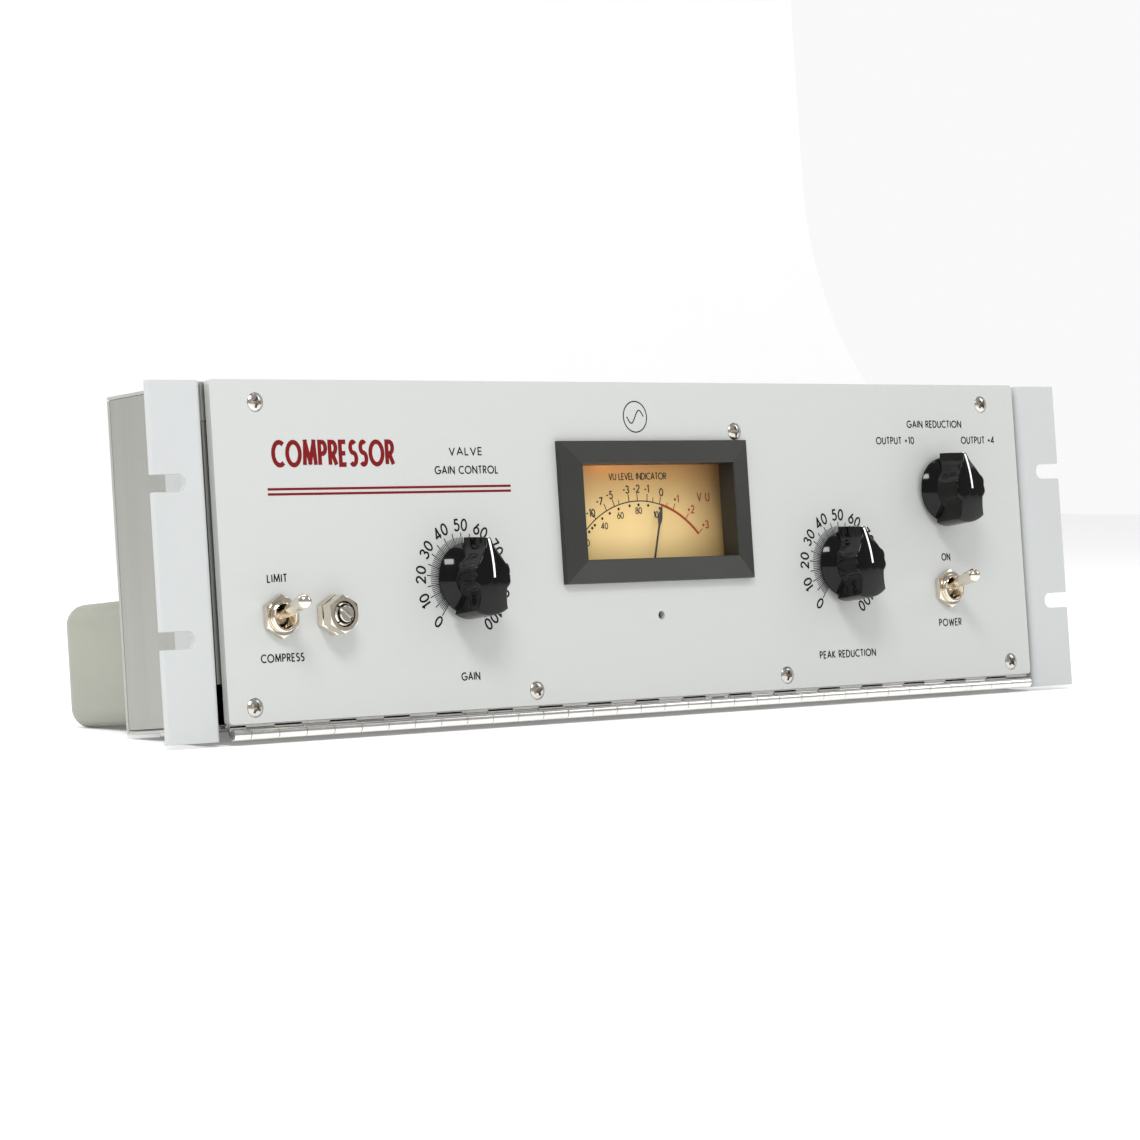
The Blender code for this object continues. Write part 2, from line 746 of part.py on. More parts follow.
def meter_needle():
    """The pointer with its spade tip, on the hub of the moving coil, turned to its rest angle."""
    hub = turned([(0, 6.9), (2.6, 6.9), (2.6, 22), (0, 22)], (0, NEEDLE_PIVOT_Z), 10)
    stem = 0.45
    spade = 1.0
    reach = NEEDLE_REACH
    outline = [(-stem, 0), (stem, 0), (stem, reach - 5), (spade, reach - 4.2), (stem / 2, reach),
               (-stem / 2, reach), (-spade, reach - 4.2), (-stem, reach - 5)]
    outline = [(x, NEEDLE_PIVOT_Z + z) for x, z in outline]
    needle = union(hub, extrude(outline, NEEDLE_DEPTH - 0.25, NEEDLE_DEPTH + 0.25))
    pivot_point = outward(0, 0, NEEDLE_PIVOT_Z)
    bmesh.ops.rotate(needle, verts=needle.verts, cent=pivot_point,
                     matrix=Matrix.Rotation(math.radians(NEEDLE_TILT), 3, "Y"))
    return needle


def zero_screw():
    """The slotted adjuster behind the small hole in the door."""
    centre = (0, ZERO_SCREW_Z)
    screw = turned([(0, 3.6), (2.4, 3.6), (2.4, 5.6), (0.9, 5.6), (0.9, 6.5), (0, 6.5)], centre, 12)
    slot = slab(-3, 3, 3, 4.4, ZERO_SCREW_Z - 0.35, ZERO_SCREW_Z + 0.35)
    return cut(screw, slot)


# ---------------------------------------------------------------- rear of the case


def can(x0, x1, z0, z1, end, radius):
    """A drawn transformer can, open edge against the rear panel, every other edge rounded."""
    box = slab(x0, x1, REAR, end, z0, z1)
    front = outward(0, REAR, 0).y + 1e-6
    return round_edges(box, radius, 3, lambda edge: max(v.co.y for v in edge.verts) > front)


def cell_socket(centre, flange, body, collar, inner_end, top):
    profile = [
        (0, inner_end),
        (body, inner_end),
        (body, REAR),
        (flange, REAR),
        (flange, REAR + SOCKET_FLANGE),
        (collar, REAR + SOCKET_FLANGE),
        (collar, top),
        (0, top),
    ]
    return turned(profile, centre, 16)


def valve(centre, end):
    """A glass envelope: straight sides, a rounded shoulder and a drawn-off tip."""
    radius = TUBE_RADIUS
    profile = [
        (0, REAR),
        (radius, REAR),
        (radius, end - 8),
        (radius * 0.9, end - 5.5),
        (radius * 0.62, end - 3.6),
        (1.9, end - 2.4),
        (0.8, end),
        (0, end),
    ]
    return turned(profile, centre, 14)


def optical_cell():
    end = OPTICAL_CELL_END
    profile = [
        (0, SOCKET_TOP + 2 + GAP),
        (16.2, SOCKET_TOP + 2 + GAP),
        (16.2, SOCKET_TOP + 10),
        (15.2, SOCKET_TOP + 11),
        (15.2, end - 2),
        (13.2, end),
        (0, end),
    ]
    return turned(profile, OPTICAL_CELL, 20)


def filter_capacitor():
    profile = [
        (0, REAR),
        (17.0, REAR),
        (17.0, REAR + 2),
        (16.4, REAR + 3),
        (16.4, REAR + 48),
        (14.8, REAR + 50),
        (0, REAR + 50),
    ]
    return turned(profile, CAPACITOR, 18)


def connector_shell(centre, inner_end):
    """The square flange and the barrel that both signal connectors share."""
    x, z = centre
    flange = extrude(rounded_rectangle(x - 13, x + 13, z - 15.5, z + 15.5, 3.0, 2), REAR, REAR + 2.4)
    radius = CONNECTOR_RADIUS
    barrel = turned([(0, inner_end), (radius, inner_end), (radius, REAR + 4.2), (0, REAR + 4.2)],
                    centre, 16)
    return union(flange, barrel)


def input_connector():
    """The socket with a release tab: a ring gap round a core with three pin holes."""
    x, z = INPUT_CONNECTOR
    shell = connector_shell(INPUT_CONNECTOR, 42.0)
    gap_ring = turned([(7.4, 50), (9.1, 50), (9.1, 80), (7.4, 80)], INPUT_CONNECTOR, 16)
    pins = []
    for angle in (30, 150, 270):
        px = x + 4.2 * math.cos(math.radians(angle))
        pz = z + 4.2 * math.sin(math.radians(angle))
        pins.append(turned([(0, 52), (1.5, 52), (1.5, 80), (0, 80)], (px, pz), 8))
    side = LATCH_HALF_WIDTH + GAP
    slot = slab(x - side, x + side, LATCH_INNER_END - 2, 80,
                z + LATCH_BOTTOM - GAP, z + LATCH_TOP + GAP)
    return cut(shell, gap_ring, together(*pins), slot)


def input_latch():
    """The release tab, which slides in its slot in the connector's flange."""
    x, z = INPUT_CONNECTOR
    side = LATCH_HALF_WIDTH
    return slab(x - side, x + side, LATCH_INNER_END, REAR + 6.4, z + LATCH_BOTTOM, z + LATCH_TOP)


def output_connector():
    """The plug with three pins standing in a round well."""
    shell = connector_shell(OUTPUT_CONNECTOR, 42.0)
    well = turned([(0, 52), (9.2, 52), (9.2, 80), (0, 80)], OUTPUT_CONNECTOR, 16)
    return cut(shell, well)


def mains_inlet():
    """The mains appliance inlet: a flange, a box through the rear panel, and a well."""
    x, z = MAINS_INLET
    flange = extrude(rounded_rectangle(x - 25, x + 25, z - 12, z + 12, 5, 3), REAR, REAR + 2.6)
    body = slab(x - 14, x + 14, 42, REAR + 1, z - 10, z + 10)
    well_outline = [(x - 12, z - 8), (x + 12, z - 8), (x + 12, z + 4), (x + 8, z + 8),
                    (x - 8, z + 8), (x - 12, z + 4)]
    return cut(union(flange, body), extrude(well_outline, 48, 80))


def fuse_holder():
    profile = [
        (0, 40),
        (6.4, 40),
        (6.4, REAR),
        (8.6, REAR),
        (8.6, REAR + 2),
        (4.6, REAR + 2),
        (4.6, 44),
        (0, 44),
    ]
    return turned(profile, FUSE, 14)


def fuse_cap():
    """The slotted cap and the carrier that reaches into the holder."""
    start = REAR + 2 + GAP
    cap = turned([(0, 48), (3.6, 48), (3.6, start), (7.2, start), (7.2, start + 8),
                  (6.4, start + 9), (0, start + 9)], FUSE, 14)
    x, z = FUSE
    slot = slab(x - 8, x + 8, start + 8, start + 10, z - 0.8, z + 0.8)
    return cut(cap, slot)


def component_board():
    """The board of soldered parts, on four pillars off the rear panel."""
    board = slab(-108, 84, BOARD_DEPTH, BOARD_DEPTH + SHEET, 20, 116)
    ends = (BOARD_DEPTH + 0.5, CASE_DEPTH - SHEET - GAP)
    pillars = [turned([(0, ends[0]), (3, ends[0]), (3, ends[1]), (0, ends[1])], (x, z), 8)
               for x in (-102, 78) for z in (26, 112)]
    return union(board, together(*pillars))


# ---------------------------------------------------------------- assembly


def build_case():
    middle = (0, CASE_DEPTH / 2, RACK_HEIGHT / 2)
    for label, side in (("left", -1), ("right", 1)):
        wall = (side * CASE_HALF_WIDTH, CASE_DEPTH / 2, RACK_HEIGHT / 2)
        place(f"rack_ear_{label}", rack_ear(side), "panel_paint", wall)
        place(f"side_panel_{label}", side_panel(side), "brushed_metal", wall)
    place("rear_panel", rear_panel(), "brushed_metal", (0, CASE_DEPTH, RACK_HEIGHT / 2))
    place("top_cover", top_cover(), "brushed_metal", (0, CASE_DEPTH / 2, CASE_TOP))
    place("bottom_cover", bottom_cover(), "brushed_metal", (0, CASE_DEPTH / 2, COVER_BOTTOM))
    place("component_board", component_board(), "board", middle)


def build_hinge(door):
    axis = (0, HINGE_DEPTH, HINGE_HEIGHT)
    place("hinge_fixed_leaf", hinge_leaf(True), "nickel", axis)
    place("hinge_door_leaf", hinge_leaf(False), "nickel", axis, door)
    pin = arc(HINGE_DEPTH, HINGE_HEIGHT, HINGE_PIN_RADIUS, 0, 315, 7)
    length = HINGE_HALF_LENGTH - GAP
    place("hinge_pin", extrude(pin, -length, length, along_x), "zinc", axis)


def build_door(door):
    place("door_panel", door_panel(), "panel_paint", (0, 0, RACK_HEIGHT / 2), door)
    screws = {
        "closing_screw_left": (-CLOSING_SCREW_X, CLOSING_SCREW_Z, 8.8),
        "closing_screw_right": (CLOSING_SCREW_X, CLOSING_SCREW_Z, 8.8),
        "lamp_screw": (*LAMP_SCREW, 8.8),
    }
    for number, x in enumerate(HINGE_SCREW_X, start=1):
        screws[f"hinge_screw_{number}"] = (x, HINGE_SCREW_Z, 7.0)
    for name, (x, z, end) in screws.items():
        place(name, oval_head_screw((x, z), end), "zinc", (x, 0, z), door)


def build_knobs(door):
    """Three alike, each with its own shaft and the part that it turns."""
    shape = knob_mesh()
    bmesh.ops.translate(shape, verts=shape.verts, vec=-outward(0, 0, 0))
    bmesh.ops.recalc_face_normals(shape, faces=shape.faces)
    data = bpy.data.meshes.new("knob")
    shape.to_mesh(data)
    shape.free()
    controls = (
        ("gain_knob", "gain_shaft", "gain_pot", GAIN, POT_RADIUS, POT_DEPTH),
        ("peak_knob", "peak_shaft", "peak_pot", PEAK, POT_RADIUS, POT_DEPTH),
        ("meter_knob", "meter_shaft", "meter_switch", METER_SELECT, ROTARY_RADIUS, ROTARY_DEPTH),
    )
    for knob, spindle, works, centre, radius, depth in controls:
        spot = (centre[0], 0, centre[1])
        turning = pivot(f"{knob}_axis", spot, door)
        put(knob, data, "black_bakelite", outward(*spot), turning)
        front = KNOB_BASE - KNOB_HEIGHT + 4
        place(spindle, shaft(centre, front, BODY_FRONT + depth - 3), "zinc", spot, turning)
        place(works, potentiometer(centre, radius, depth), "zinc", spot, door)


def build_toggles(door):
    for label, centre in (("limit", LIMIT_TOGGLE), ("power", POWER_TOGGLE)):
        spot = (centre[0], TOGGLE_PIVOT_DEPTH, centre[1])
        place(f"{label}_switch", toggle_switch(centre), "nickel", spot, door)
        nut = hex_nut(centre, TOGGLE_NUT_FLATS, -GAP, -GAP - TOGGLE_NUT, TOGGLE_BUSHING_RADIUS + 0.5)
        place(f"{label}_switch_nut", nut, "nickel", (centre[0], 0, centre[1]), door)
        place(f"{label}_lever", toggle_lever(centre), "nickel", spot, door)


def build_emphasis(door):
    """A preset: its slotted shaft is locked by a nut on a collet."""
    spot = (EMPHASIS[0], 0, EMPHASIS[1])
    bushing = 4.4
    base_flats, flats = 13.3, 12.7
    reach = 8.6
    body = potentiometer(EMPHASIS, 8.5, 10.0, reach, bushing)
    place("emphasis_pot", body, "nickel", spot, door)
    base = hex_nut(EMPHASIS, base_flats, -GAP, -3.3, bushing + 0.5)
    place("emphasis_lock_base", base, "nickel", spot, door)
    nut = hex_nut(EMPHASIS, flats, -3.6, -8.2, bushing + 0.5)
    place("emphasis_lock_nut", nut, "nickel", spot, door)
    stem = shaft(EMPHASIS, -reach - 1.2, BODY_FRONT + 7)
    slot = slab(EMPHASIS[0] - 5, EMPHASIS[0] + 5, -reach - 2, -reach, EMPHASIS[1] - 0.5,
                EMPHASIS[1] + 0.5)
    bmesh.ops.rotate(slot, verts=slot.verts, cent=outward(*spot),
                     matrix=Matrix.Rotation(math.radians(EMPHASIS_SLOT_TURN), 3, "Y"))
    place("emphasis_shaft", cut(stem, slot), "zinc", spot, door)


def build_meter(door):
    spot = (0, 0, METER_Z)
    place("meter_bezel", meter_bezel(), "dark_plastic", spot, door)
    place("meter_housing", meter_housing(), "dark_plastic", spot, door)
    place("meter_glass", meter_glass(), "clear_glass", spot, door)
    place("meter_dial", meter_dial(), "dial_card", spot, door)
    place("meter_needle", meter_needle(), "dark_plastic", (0, 0, NEEDLE_PIVOT_Z), door)
    place("meter_zero_screw", zero_screw(), "dark_plastic", (0, 0, ZERO_SCREW_Z), door)


def build_rear():
    cans = {
        "power_transformer": (-198, -125, 8.2, 57, 136, 4.5),
        "output_transformer": (-105, -61, 12, 56, 120, 5),
        "input_transformer": (0, 38, 14, 54, 114, 5),
    }
    for name, (x0, x1, z0, z1, end, radius) in cans.items():
        place(name, can(x0, x1, z0, z1, end, radius), "can_paint",
              ((x0 + x1) / 2, REAR, (z0 + z1) / 2))
    place("filter_capacitor", filter_capacitor(), "aluminium", (CAPACITOR[0], REAR, CAPACITOR[1]))
    for name, x in TUBES.items():
        place(name, valve((x, TUBE_Z), TUBE_ENDS[name]), "clear_glass", (x, REAR, TUBE_Z))
    spot = (OPTICAL_CELL[0], REAR, OPTICAL_CELL[1])
    socket = cell_socket(OPTICAL_CELL, 19.0, 14.6, 16.0, 54, SOCKET_TOP + 2)
    place("optical_cell_socket", socket, "black_bakelite", spot)
    place("optical_cell", optical_cell(), "aluminium", spot)


def build_connectors():
    spot = (INPUT_CONNECTOR[0], REAR, INPUT_CONNECTOR[1])
    place("input_connector", input_connector(), "zinc", spot)
    place("input_latch", input_latch(), "zinc", spot)
    spot = (OUTPUT_CONNECTOR[0], REAR, OUTPUT_CONNECTOR[1])
    place("output_connector", output_connector(), "zinc", spot)
    place("mains_inlet", mains_inlet(), "black_bakelite", (MAINS_INLET[0], REAR, MAINS_INLET[1]))
    spot = (FUSE[0], REAR, FUSE[1])
    place("fuse_holder", fuse_holder(), "black_bakelite", spot)
    place("fuse_cap", fuse_cap(), "black_bakelite", spot)


def main():
    for obj in list(bpy.data.objects):
        bpy.data.objects.remove(obj)
    door = pivot("door_axis", (0, HINGE_DEPTH, HINGE_HEIGHT))
    bpy.context.view_layer.update()
    build_case()
    build_hinge(door)
    build_door(door)
    build_knobs(door)
    build_toggles(door)
    build_emphasis(door)
    build_meter(door)
    build_rear()
    build_connectors()


main()
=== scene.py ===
"""The looks of the rack compressor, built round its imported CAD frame.

Helpers take millimetres: X to the right, Z up and a depth that counts backwards (+Y) from the door's
front face. Pieces that only repeat a CAD node more finely replace it, and everything rides on a body.
"""

import json
import math

import bmesh
import bpy
from mathutils import Matrix, Vector


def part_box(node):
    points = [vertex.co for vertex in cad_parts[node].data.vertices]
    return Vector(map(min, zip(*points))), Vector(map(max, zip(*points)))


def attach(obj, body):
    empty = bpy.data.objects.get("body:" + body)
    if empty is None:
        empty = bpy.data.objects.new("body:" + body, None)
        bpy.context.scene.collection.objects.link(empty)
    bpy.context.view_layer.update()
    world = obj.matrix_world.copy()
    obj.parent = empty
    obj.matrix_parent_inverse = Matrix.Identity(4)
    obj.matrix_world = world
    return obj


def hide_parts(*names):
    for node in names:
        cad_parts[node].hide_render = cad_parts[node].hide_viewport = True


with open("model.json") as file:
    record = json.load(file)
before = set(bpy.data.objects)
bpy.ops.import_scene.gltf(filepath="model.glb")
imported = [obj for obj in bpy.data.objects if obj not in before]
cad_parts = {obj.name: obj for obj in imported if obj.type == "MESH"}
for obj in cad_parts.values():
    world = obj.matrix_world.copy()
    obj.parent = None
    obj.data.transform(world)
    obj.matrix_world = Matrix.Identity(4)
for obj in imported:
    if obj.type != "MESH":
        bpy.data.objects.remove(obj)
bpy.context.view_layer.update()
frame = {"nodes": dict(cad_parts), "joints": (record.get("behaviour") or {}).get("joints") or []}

MM = 0.001
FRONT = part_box("door_panel")[0].y  # the door's front face, in metres
INK = 0.06  # height of printed lettering above its surface
LEAN = 4.6  # degrees by which the unit leans back on its transformer
REST_DEPTH = 22.5  # the ears touch the floor at their rear edge


# ---------------------------------------------------------------- geometry from the frame


def span(node):
    """A node's box as ((x0, x1), (depth0, depth1), (z0, z1)) in millimetres."""
    low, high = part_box(node)
    return (
        (low.x / MM, high.x / MM),
        ((low.y - FRONT) / MM, (high.y - FRONT) / MM),
        (low.z / MM, high.z / MM),
    )


def depths(node):
    """(front, back) of a node's box."""
    return span(node)[1]


def middle(node):
    """(x, z) of the middle of a node's box."""
    (x0, x1), _, (z0, z1) = span(node)
    return (x0 + x1) / 2, (z0 + z1) / 2


def joint_centre(name):
    """(x, z) of a joint's axis that runs along Y."""
    found = next(j for j in frame["joints"] if j["name"] == name)
    return found["pos_m"][0] / MM, found["pos_m"][2] / MM


REAR = depths("rear_panel")[1]
GAIN = joint_centre("gain_turn")
PEAK = joint_centre("peak_turn")
SELECT = joint_centre("meter_select_turn")
PRESET = joint_centre("emphasis_turn")
NEEDLE = joint_centre("needle_swing")
LIMIT = middle("limit_switch_nut")
POWER = middle("power_switch_nut")
METER = middle("meter_bezel")
DIAL_DEPTH = depths("meter_dial")[0]


# ---------------------------------------------------------------- mesh helpers


def at(x, depth, z):
    return Vector((x * MM, FRONT + depth * MM, z * MM))


def along_depth(u, v, w):
    return at(u, w, v)


def along_x(u, v, w):
    return at(w, u, v)


def along_z(u, v, w):
    return at(u, v, w)


def arc(u, v, radius, start, end, steps):
    angles = [math.radians(start + (end - start) * k / steps) for k in range(steps + 1)]
    return [(u + radius * math.cos(a), v + radius * math.sin(a)) for a in angles]


def rectangle(u0, u1, v0, v1):
    return [(u0, v0), (u1, v0), (u1, v1), (u0, v1)]


def rounded(u0, u1, v0, v1, radius, steps=6):
    corners = (
        (u1 - radius, v1 - radius, 0),
        (u0 + radius, v1 - radius, 90),
        (u0 + radius, v0 + radius, 180),
        (u1 - radius, v0 + radius, 270),
    )
    return [p for u, v, start in corners for p in arc(u, v, radius, start, start + 90, steps)]


def hexagon(centre, flats):
    return arc(centre[0], centre[1], flats / math.sqrt(3), 90, 450, 6)[:-1]


def join_rings(mesh, near, far):
    """Fills the band between two rings of vertices."""
    for k in range(len(near)):
        j = (k + 1) % len(near)
        mesh.faces.new(dict.fromkeys((near[k], near[j], far[j], far[k])))


def extrude(outline, low, high, to_point=along_depth):
    """A prism between two depths, or along another direction."""
    mesh = bmesh.new()
    ends = [[mesh.verts.new(to_point(u, v, w)) for u, v in outline] for w in (low, high)]
    mesh.faces.new(ends[0])
    mesh.faces.new(reversed(ends[1]))
    for i in range(len(outline)):
        j = (i + 1) % len(outline)
        mesh.faces.new((ends[0][j], ends[0][i], ends[1][i], ends[1][j]))
    return mesh


def slab(x0, x1, depth0, depth1, z0, z1):
    return extrude(rectangle(x0, x1, z0, z1), depth0, depth1)


def turned(profile, centre=(0, 0), sides=64):
    """A profile of (radius, depth) points turned about the depth direction: it starts and ends on
    the axis, or it's a closed loop clear of it."""
    mesh = bmesh.new()
    rings = []
    for radius, depth in profile:
        if radius == 0:
            rings.append([mesh.verts.new(at(centre[0], depth, centre[1]))] * sides)
            continue
        turn = [2 * math.pi * k / sides for k in range(sides)]
        rings.append([
            mesh.verts.new(at(centre[0] + radius * math.sin(a), depth,
                              centre[1] + radius * math.cos(a)))
            for a in turn
        ])
    pairs = list(zip(rings, rings[1:]))
    if profile[0][0] > 0:
        pairs.append((rings[-1], rings[0]))
    for near, far in pairs:
        join_rings(mesh, near, far)
    return mesh


def disc(radius, start, end, centre, sides, bore=0):
    """A plain round between two depths, solid or with a bore."""
    return turned([(bore, start), (radius, start), (radius, end), (bore, end)], centre, sides)


def lofted(loops, caps=True):
    """Joins loops of equal length, given as lists of 3-D points."""
    mesh = bmesh.new()
    rows = [[mesh.verts.new(p) for p in loop] for loop in loops]
    for near, far in zip(rows, rows[1:]):
        join_rings(mesh, near, far)
    if caps:
        mesh.faces.new(rows[0])
        mesh.faces.new(reversed(rows[-1]))
    return mesh


def together(*meshes):
    joined = bmesh.new()
    for mesh in meshes:
        data = bpy.data.meshes.new("shape")
        mesh.to_mesh(data)
        mesh.free()
        joined.from_mesh(data)
        bpy.data.meshes.remove(data)
    return joined


def spun(mesh, pivot, degrees, axis="Y"):
    """Turns a mesh about a point."""
    turn = Matrix.Rotation(math.radians(degrees), 4, axis)
    about = Matrix.Translation(pivot) @ turn @ Matrix.Translation(-pivot)
    bmesh.ops.transform(mesh, verts=mesh.verts, matrix=about)
    return mesh


def boolean(base, tool, operation):
    pair = []
    for label, mesh in (("base", base), ("tool", tool)):
        bmesh.ops.recalc_face_normals(mesh, faces=mesh.faces)
        data = bpy.data.meshes.new(label)
        mesh.to_mesh(data)
        mesh.free()
        helper = bpy.data.objects.new(label, data)
        bpy.context.scene.collection.objects.link(helper)
        pair.append(helper)
    modifier = pair[0].modifiers.new(operation, "BOOLEAN")
    modifier.operation = operation
    modifier.object = pair[1]
    graph = bpy.context.evaluated_depsgraph_get()
    result = bmesh.new()
    result.from_mesh(pair[0].evaluated_get(graph).to_mesh())
    for helper in pair:
        bpy.data.objects.remove(helper)
    return result


def cut(base, *tools):
    for tool in tools:
        base = boolean(base, tool, "DIFFERENCE")
    return base


def bevel(piece, width, segments=3, angle=30):
    """Rounds every edge sharper than the angle."""
    modifier = piece.modifiers.new("rounded_edges", "BEVEL")
    modifier.width = width * MM
    modifier.segments = segments
    modifier.limit_method = "ANGLE"
    modifier.angle_limit = math.radians(angle)
    modifier.harden_normals = True
    modifier.use_clamp_overlap = True
    return piece


def piece(name, mesh, finish, body, replaced=(), record_slot=None, smooth=35):
    """Links the mesh as an object in its final place, and says what it rides on and replaces.

    smooth is the angle in degrees up to which neighbouring faces are shaded as one surface.
    """
    bmesh.ops.recalc_face_normals(mesh, faces=mesh.faces)
    data = bpy.data.meshes.new(name)
    mesh.to_mesh(data)
    mesh.free()
    data.materials.append(FINISH[finish])
    data.shade_smooth()
    data.set_sharp_from_angle(angle=math.radians(smooth))
    made = bpy.data.objects.new(name, data)
    bpy.context.scene.collection.objects.link(made)
    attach(made, body)
    if replaced:
        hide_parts(*([replaced] if isinstance(replaced, str) else replaced))
    return made


def tube(path, radius, sides=10):
    """A closed tube along 3-D points."""
    loops = []
    up = Vector((0, 0, 1))
    for k, point in enumerate(path):
        ahead = path[min(k + 1, len(path) - 1)] - path[max(k - 1, 0)]
        ahead.normalize()
        side = ahead.cross(up)
        if side.length < 0.1:
            side = ahead.cross(Vector((1, 0, 0)))
        side.normalize()
        over = side.cross(ahead)
        turn = [2 * math.pi * i / sides for i in range(sides)]
        loops.append([point + radius * MM * (side * math.cos(a) + over * math.sin(a)) for a in turn])
    return lofted(loops)


# ---------------------------------------------------------------- materials


class Finish:
    """A Principled material with a few node helpers."""

    def __init__(self, name, colour, roughness, metallic=0.0, **sockets):
        self.material = bpy.data.materials.new(name)
        self.material.use_nodes = True
        self.nodes = self.material.node_tree.nodes
        self.links = self.material.node_tree.links
        self.shader = self.nodes["Principled BSDF"]
        self.set("Base Color", (*colour, 1))
        self.set("Roughness", roughness)
        self.set("Metallic", metallic)
        for socket, value in sockets.items():
            self.set(socket.replace("_", " "), value)
        self.height = None

    def set(self, socket, value):
        self.shader.inputs[socket].default_value = value

    def coordinates(self, scale):
        """Object coordinates, scaled per axis."""
        source = self.nodes.new("ShaderNodeTexCoord")
        mapping = self.nodes.new("ShaderNodeMapping")
        mapping.inputs["Scale"].default_value = scale
        self.links.new(source.outputs["Object"], mapping.inputs["Vector"])
        return mapping.outputs["Vector"]

    def noise(self, scale, detail=4.0, stretch=(1, 1, 1)):
        texture = self.nodes.new("ShaderNodeTexNoise")
        texture.inputs["Scale"].default_value = scale
        texture.inputs["Detail"].default_value = detail
        self.links.new(self.coordinates(stretch), texture.inputs["Vector"])
        return texture.outputs["Fac"]

    def ramp(self, value, stops):
        """Maps 0 to 1 through (position, colour) stops."""
        ramp = self.nodes.new("ShaderNodeValToRGB")
        band = ramp.color_ramp
        band.elements[0].position, band.elements[0].color = stops[0][0], (*stops[0][1], 1)
        band.elements[1].position, band.elements[1].color = stops[-1][0], (*stops[-1][1], 1)
        for position, colour in stops[1:-1]:
            band.elements.new(position).color = (*colour, 1)
        self.links.new(value, ramp.inputs["Fac"])
        return ramp.outputs["Color"]

    def colour(self, value, stops):
        self.links.new(self.ramp(value, stops), self.shader.inputs["Base Color"])
        return self

    def rough(self, value, low, high):
        span_node = self.nodes.new("ShaderNodeMapRange")
        span_node.inputs["To Min"].default_value = low
        span_node.inputs["To Max"].default_value = high
        self.links.new(value, span_node.inputs["Value"])
        self.links.new(span_node.outputs["Result"], self.shader.inputs["Roughness"])
        return self

    def bump(self, value, distance, strength=1.0):
        """Adds a bump layer; the distance is in millimetres."""
        node = self.nodes.new("ShaderNodeBump")
        node.inputs["Strength"].default_value = strength
        node.inputs["Distance"].default_value = distance * MM
        self.links.new(value, node.inputs["Height"])
        if self.height:
            self.links.new(self.height, node.inputs["Normal"])
        self.height = node.outputs["Normal"]
        self.links.new(self.height, self.shader.inputs["Normal"])
        return self


def tone(colour, factor):
    return tuple(min(1.0, c * factor) for c in colour)


def satin_paint(name, colour, roughness=0.38):
    """Sprayed paint: a fine orange-peel surface with a little colour drift."""
    made = Finish(name, colour, roughness, Coat_Weight=0.15, Coat_Roughness=0.25)
    drift = made.noise(14, 3)
    made.colour(drift, [(0.3, tone(colour, 0.975)), (0.7, tone(colour, 1.02))])
    made.rough(made.noise(900, 2), roughness - 0.04, roughness + 0.05)
    made.bump(made.noise(1500, 2), 0.012, 0.5)
    return made.material


def panel_paint():
    """The door: a fine horizontal grain under clear satin."""
    colour = (0.462, 0.472, 0.460)
    made = Finish("panel_finish", colour, 0.36, 0.0, Coat_Weight=0.2, Coat_Roughness=0.2)
    grain = made.noise(1.0, 5, (90, 900, 5200))
    made.colour(grain, [(0.25, tone(colour, 0.985)), (0.75, tone(colour, 1.01))])
    made.rough(grain, 0.3, 0.42)
    made.bump(made.noise(1800, 2), 0.006, 0.3)
    return made.material


def brushed(name, colour, stretch, roughness=0.34):
    """Sheet metal with a grain; stretch is large across the grain and small along it."""
    made = Finish(name, colour, roughness, 1.0)
    grain = made.noise(1.0, 6, stretch)
    wide = made.noise(1.0, 3, tuple(s * 0.12 for s in stretch))
    made.colour(wide, [(0.3, tone(colour, 0.975)), (0.7, tone(colour, 1.02))])
    made.rough(grain, roughness - 0.1, roughness + 0.12)
    made.bump(grain, 0.02, 0.55)
    return made.material


def plated(name, colour, roughness=0.16, blur=0.1):
    """Bright plate, with faint handling marks."""
    made = Finish(name, colour, roughness, 1.0)
    marks = made.noise(420, 6)
    made.rough(marks, roughness - blur / 2, roughness + blur)
    made.colour(made.noise(60, 3), [(0.3, tone(colour, 0.93)), (0.7, tone(colour, 1.05))])
    made.bump(made.noise(2600, 2), 0.002, 0.2)
    return made.material


def bakelite():
    """Polished black moulding with a few fine scratches."""
    made = Finish("bakelite_finish", (0.003, 0.003, 0.003), 0.08, 0.0, Specular_IOR_Level=0.24)
    made.rough(made.noise(260, 5), 0.05, 0.12)
    made.colour(made.noise(90, 4), [(0.35, (0.002, 0.002, 0.0022)), (0.75, (0.005, 0.0045, 0.004))])
    made.bump(made.noise(55, 2), 0.03, 0.25)
    return made.material


def moulded(name, colour, roughness=0.5):
    """Matt moulded plastic with a fine grain."""
    made = Finish(name, colour, roughness)
    grain = made.noise(2600, 3)
    made.colour(made.noise(70, 3), [(0.3, tone(colour, 0.93)), (0.7, tone(colour, 1.07))])
    made.rough(grain, roughness - 0.06, roughness + 0.08)
    made.bump(grain, 0.02, 0.5)
    return made.material


def ink(name, colour):
    """Screen-printed ink: matt, with slight unevenness."""
    made = Finish(name, colour, 0.6, Specular_IOR_Level=0.12)
    made.colour(made.noise(1200, 2), [(0.3, tone(colour, 0.9)), (0.7, tone(colour, 1.12))])
    made.rough(made.noise(900, 2), 0.5, 0.68)
    return made.material


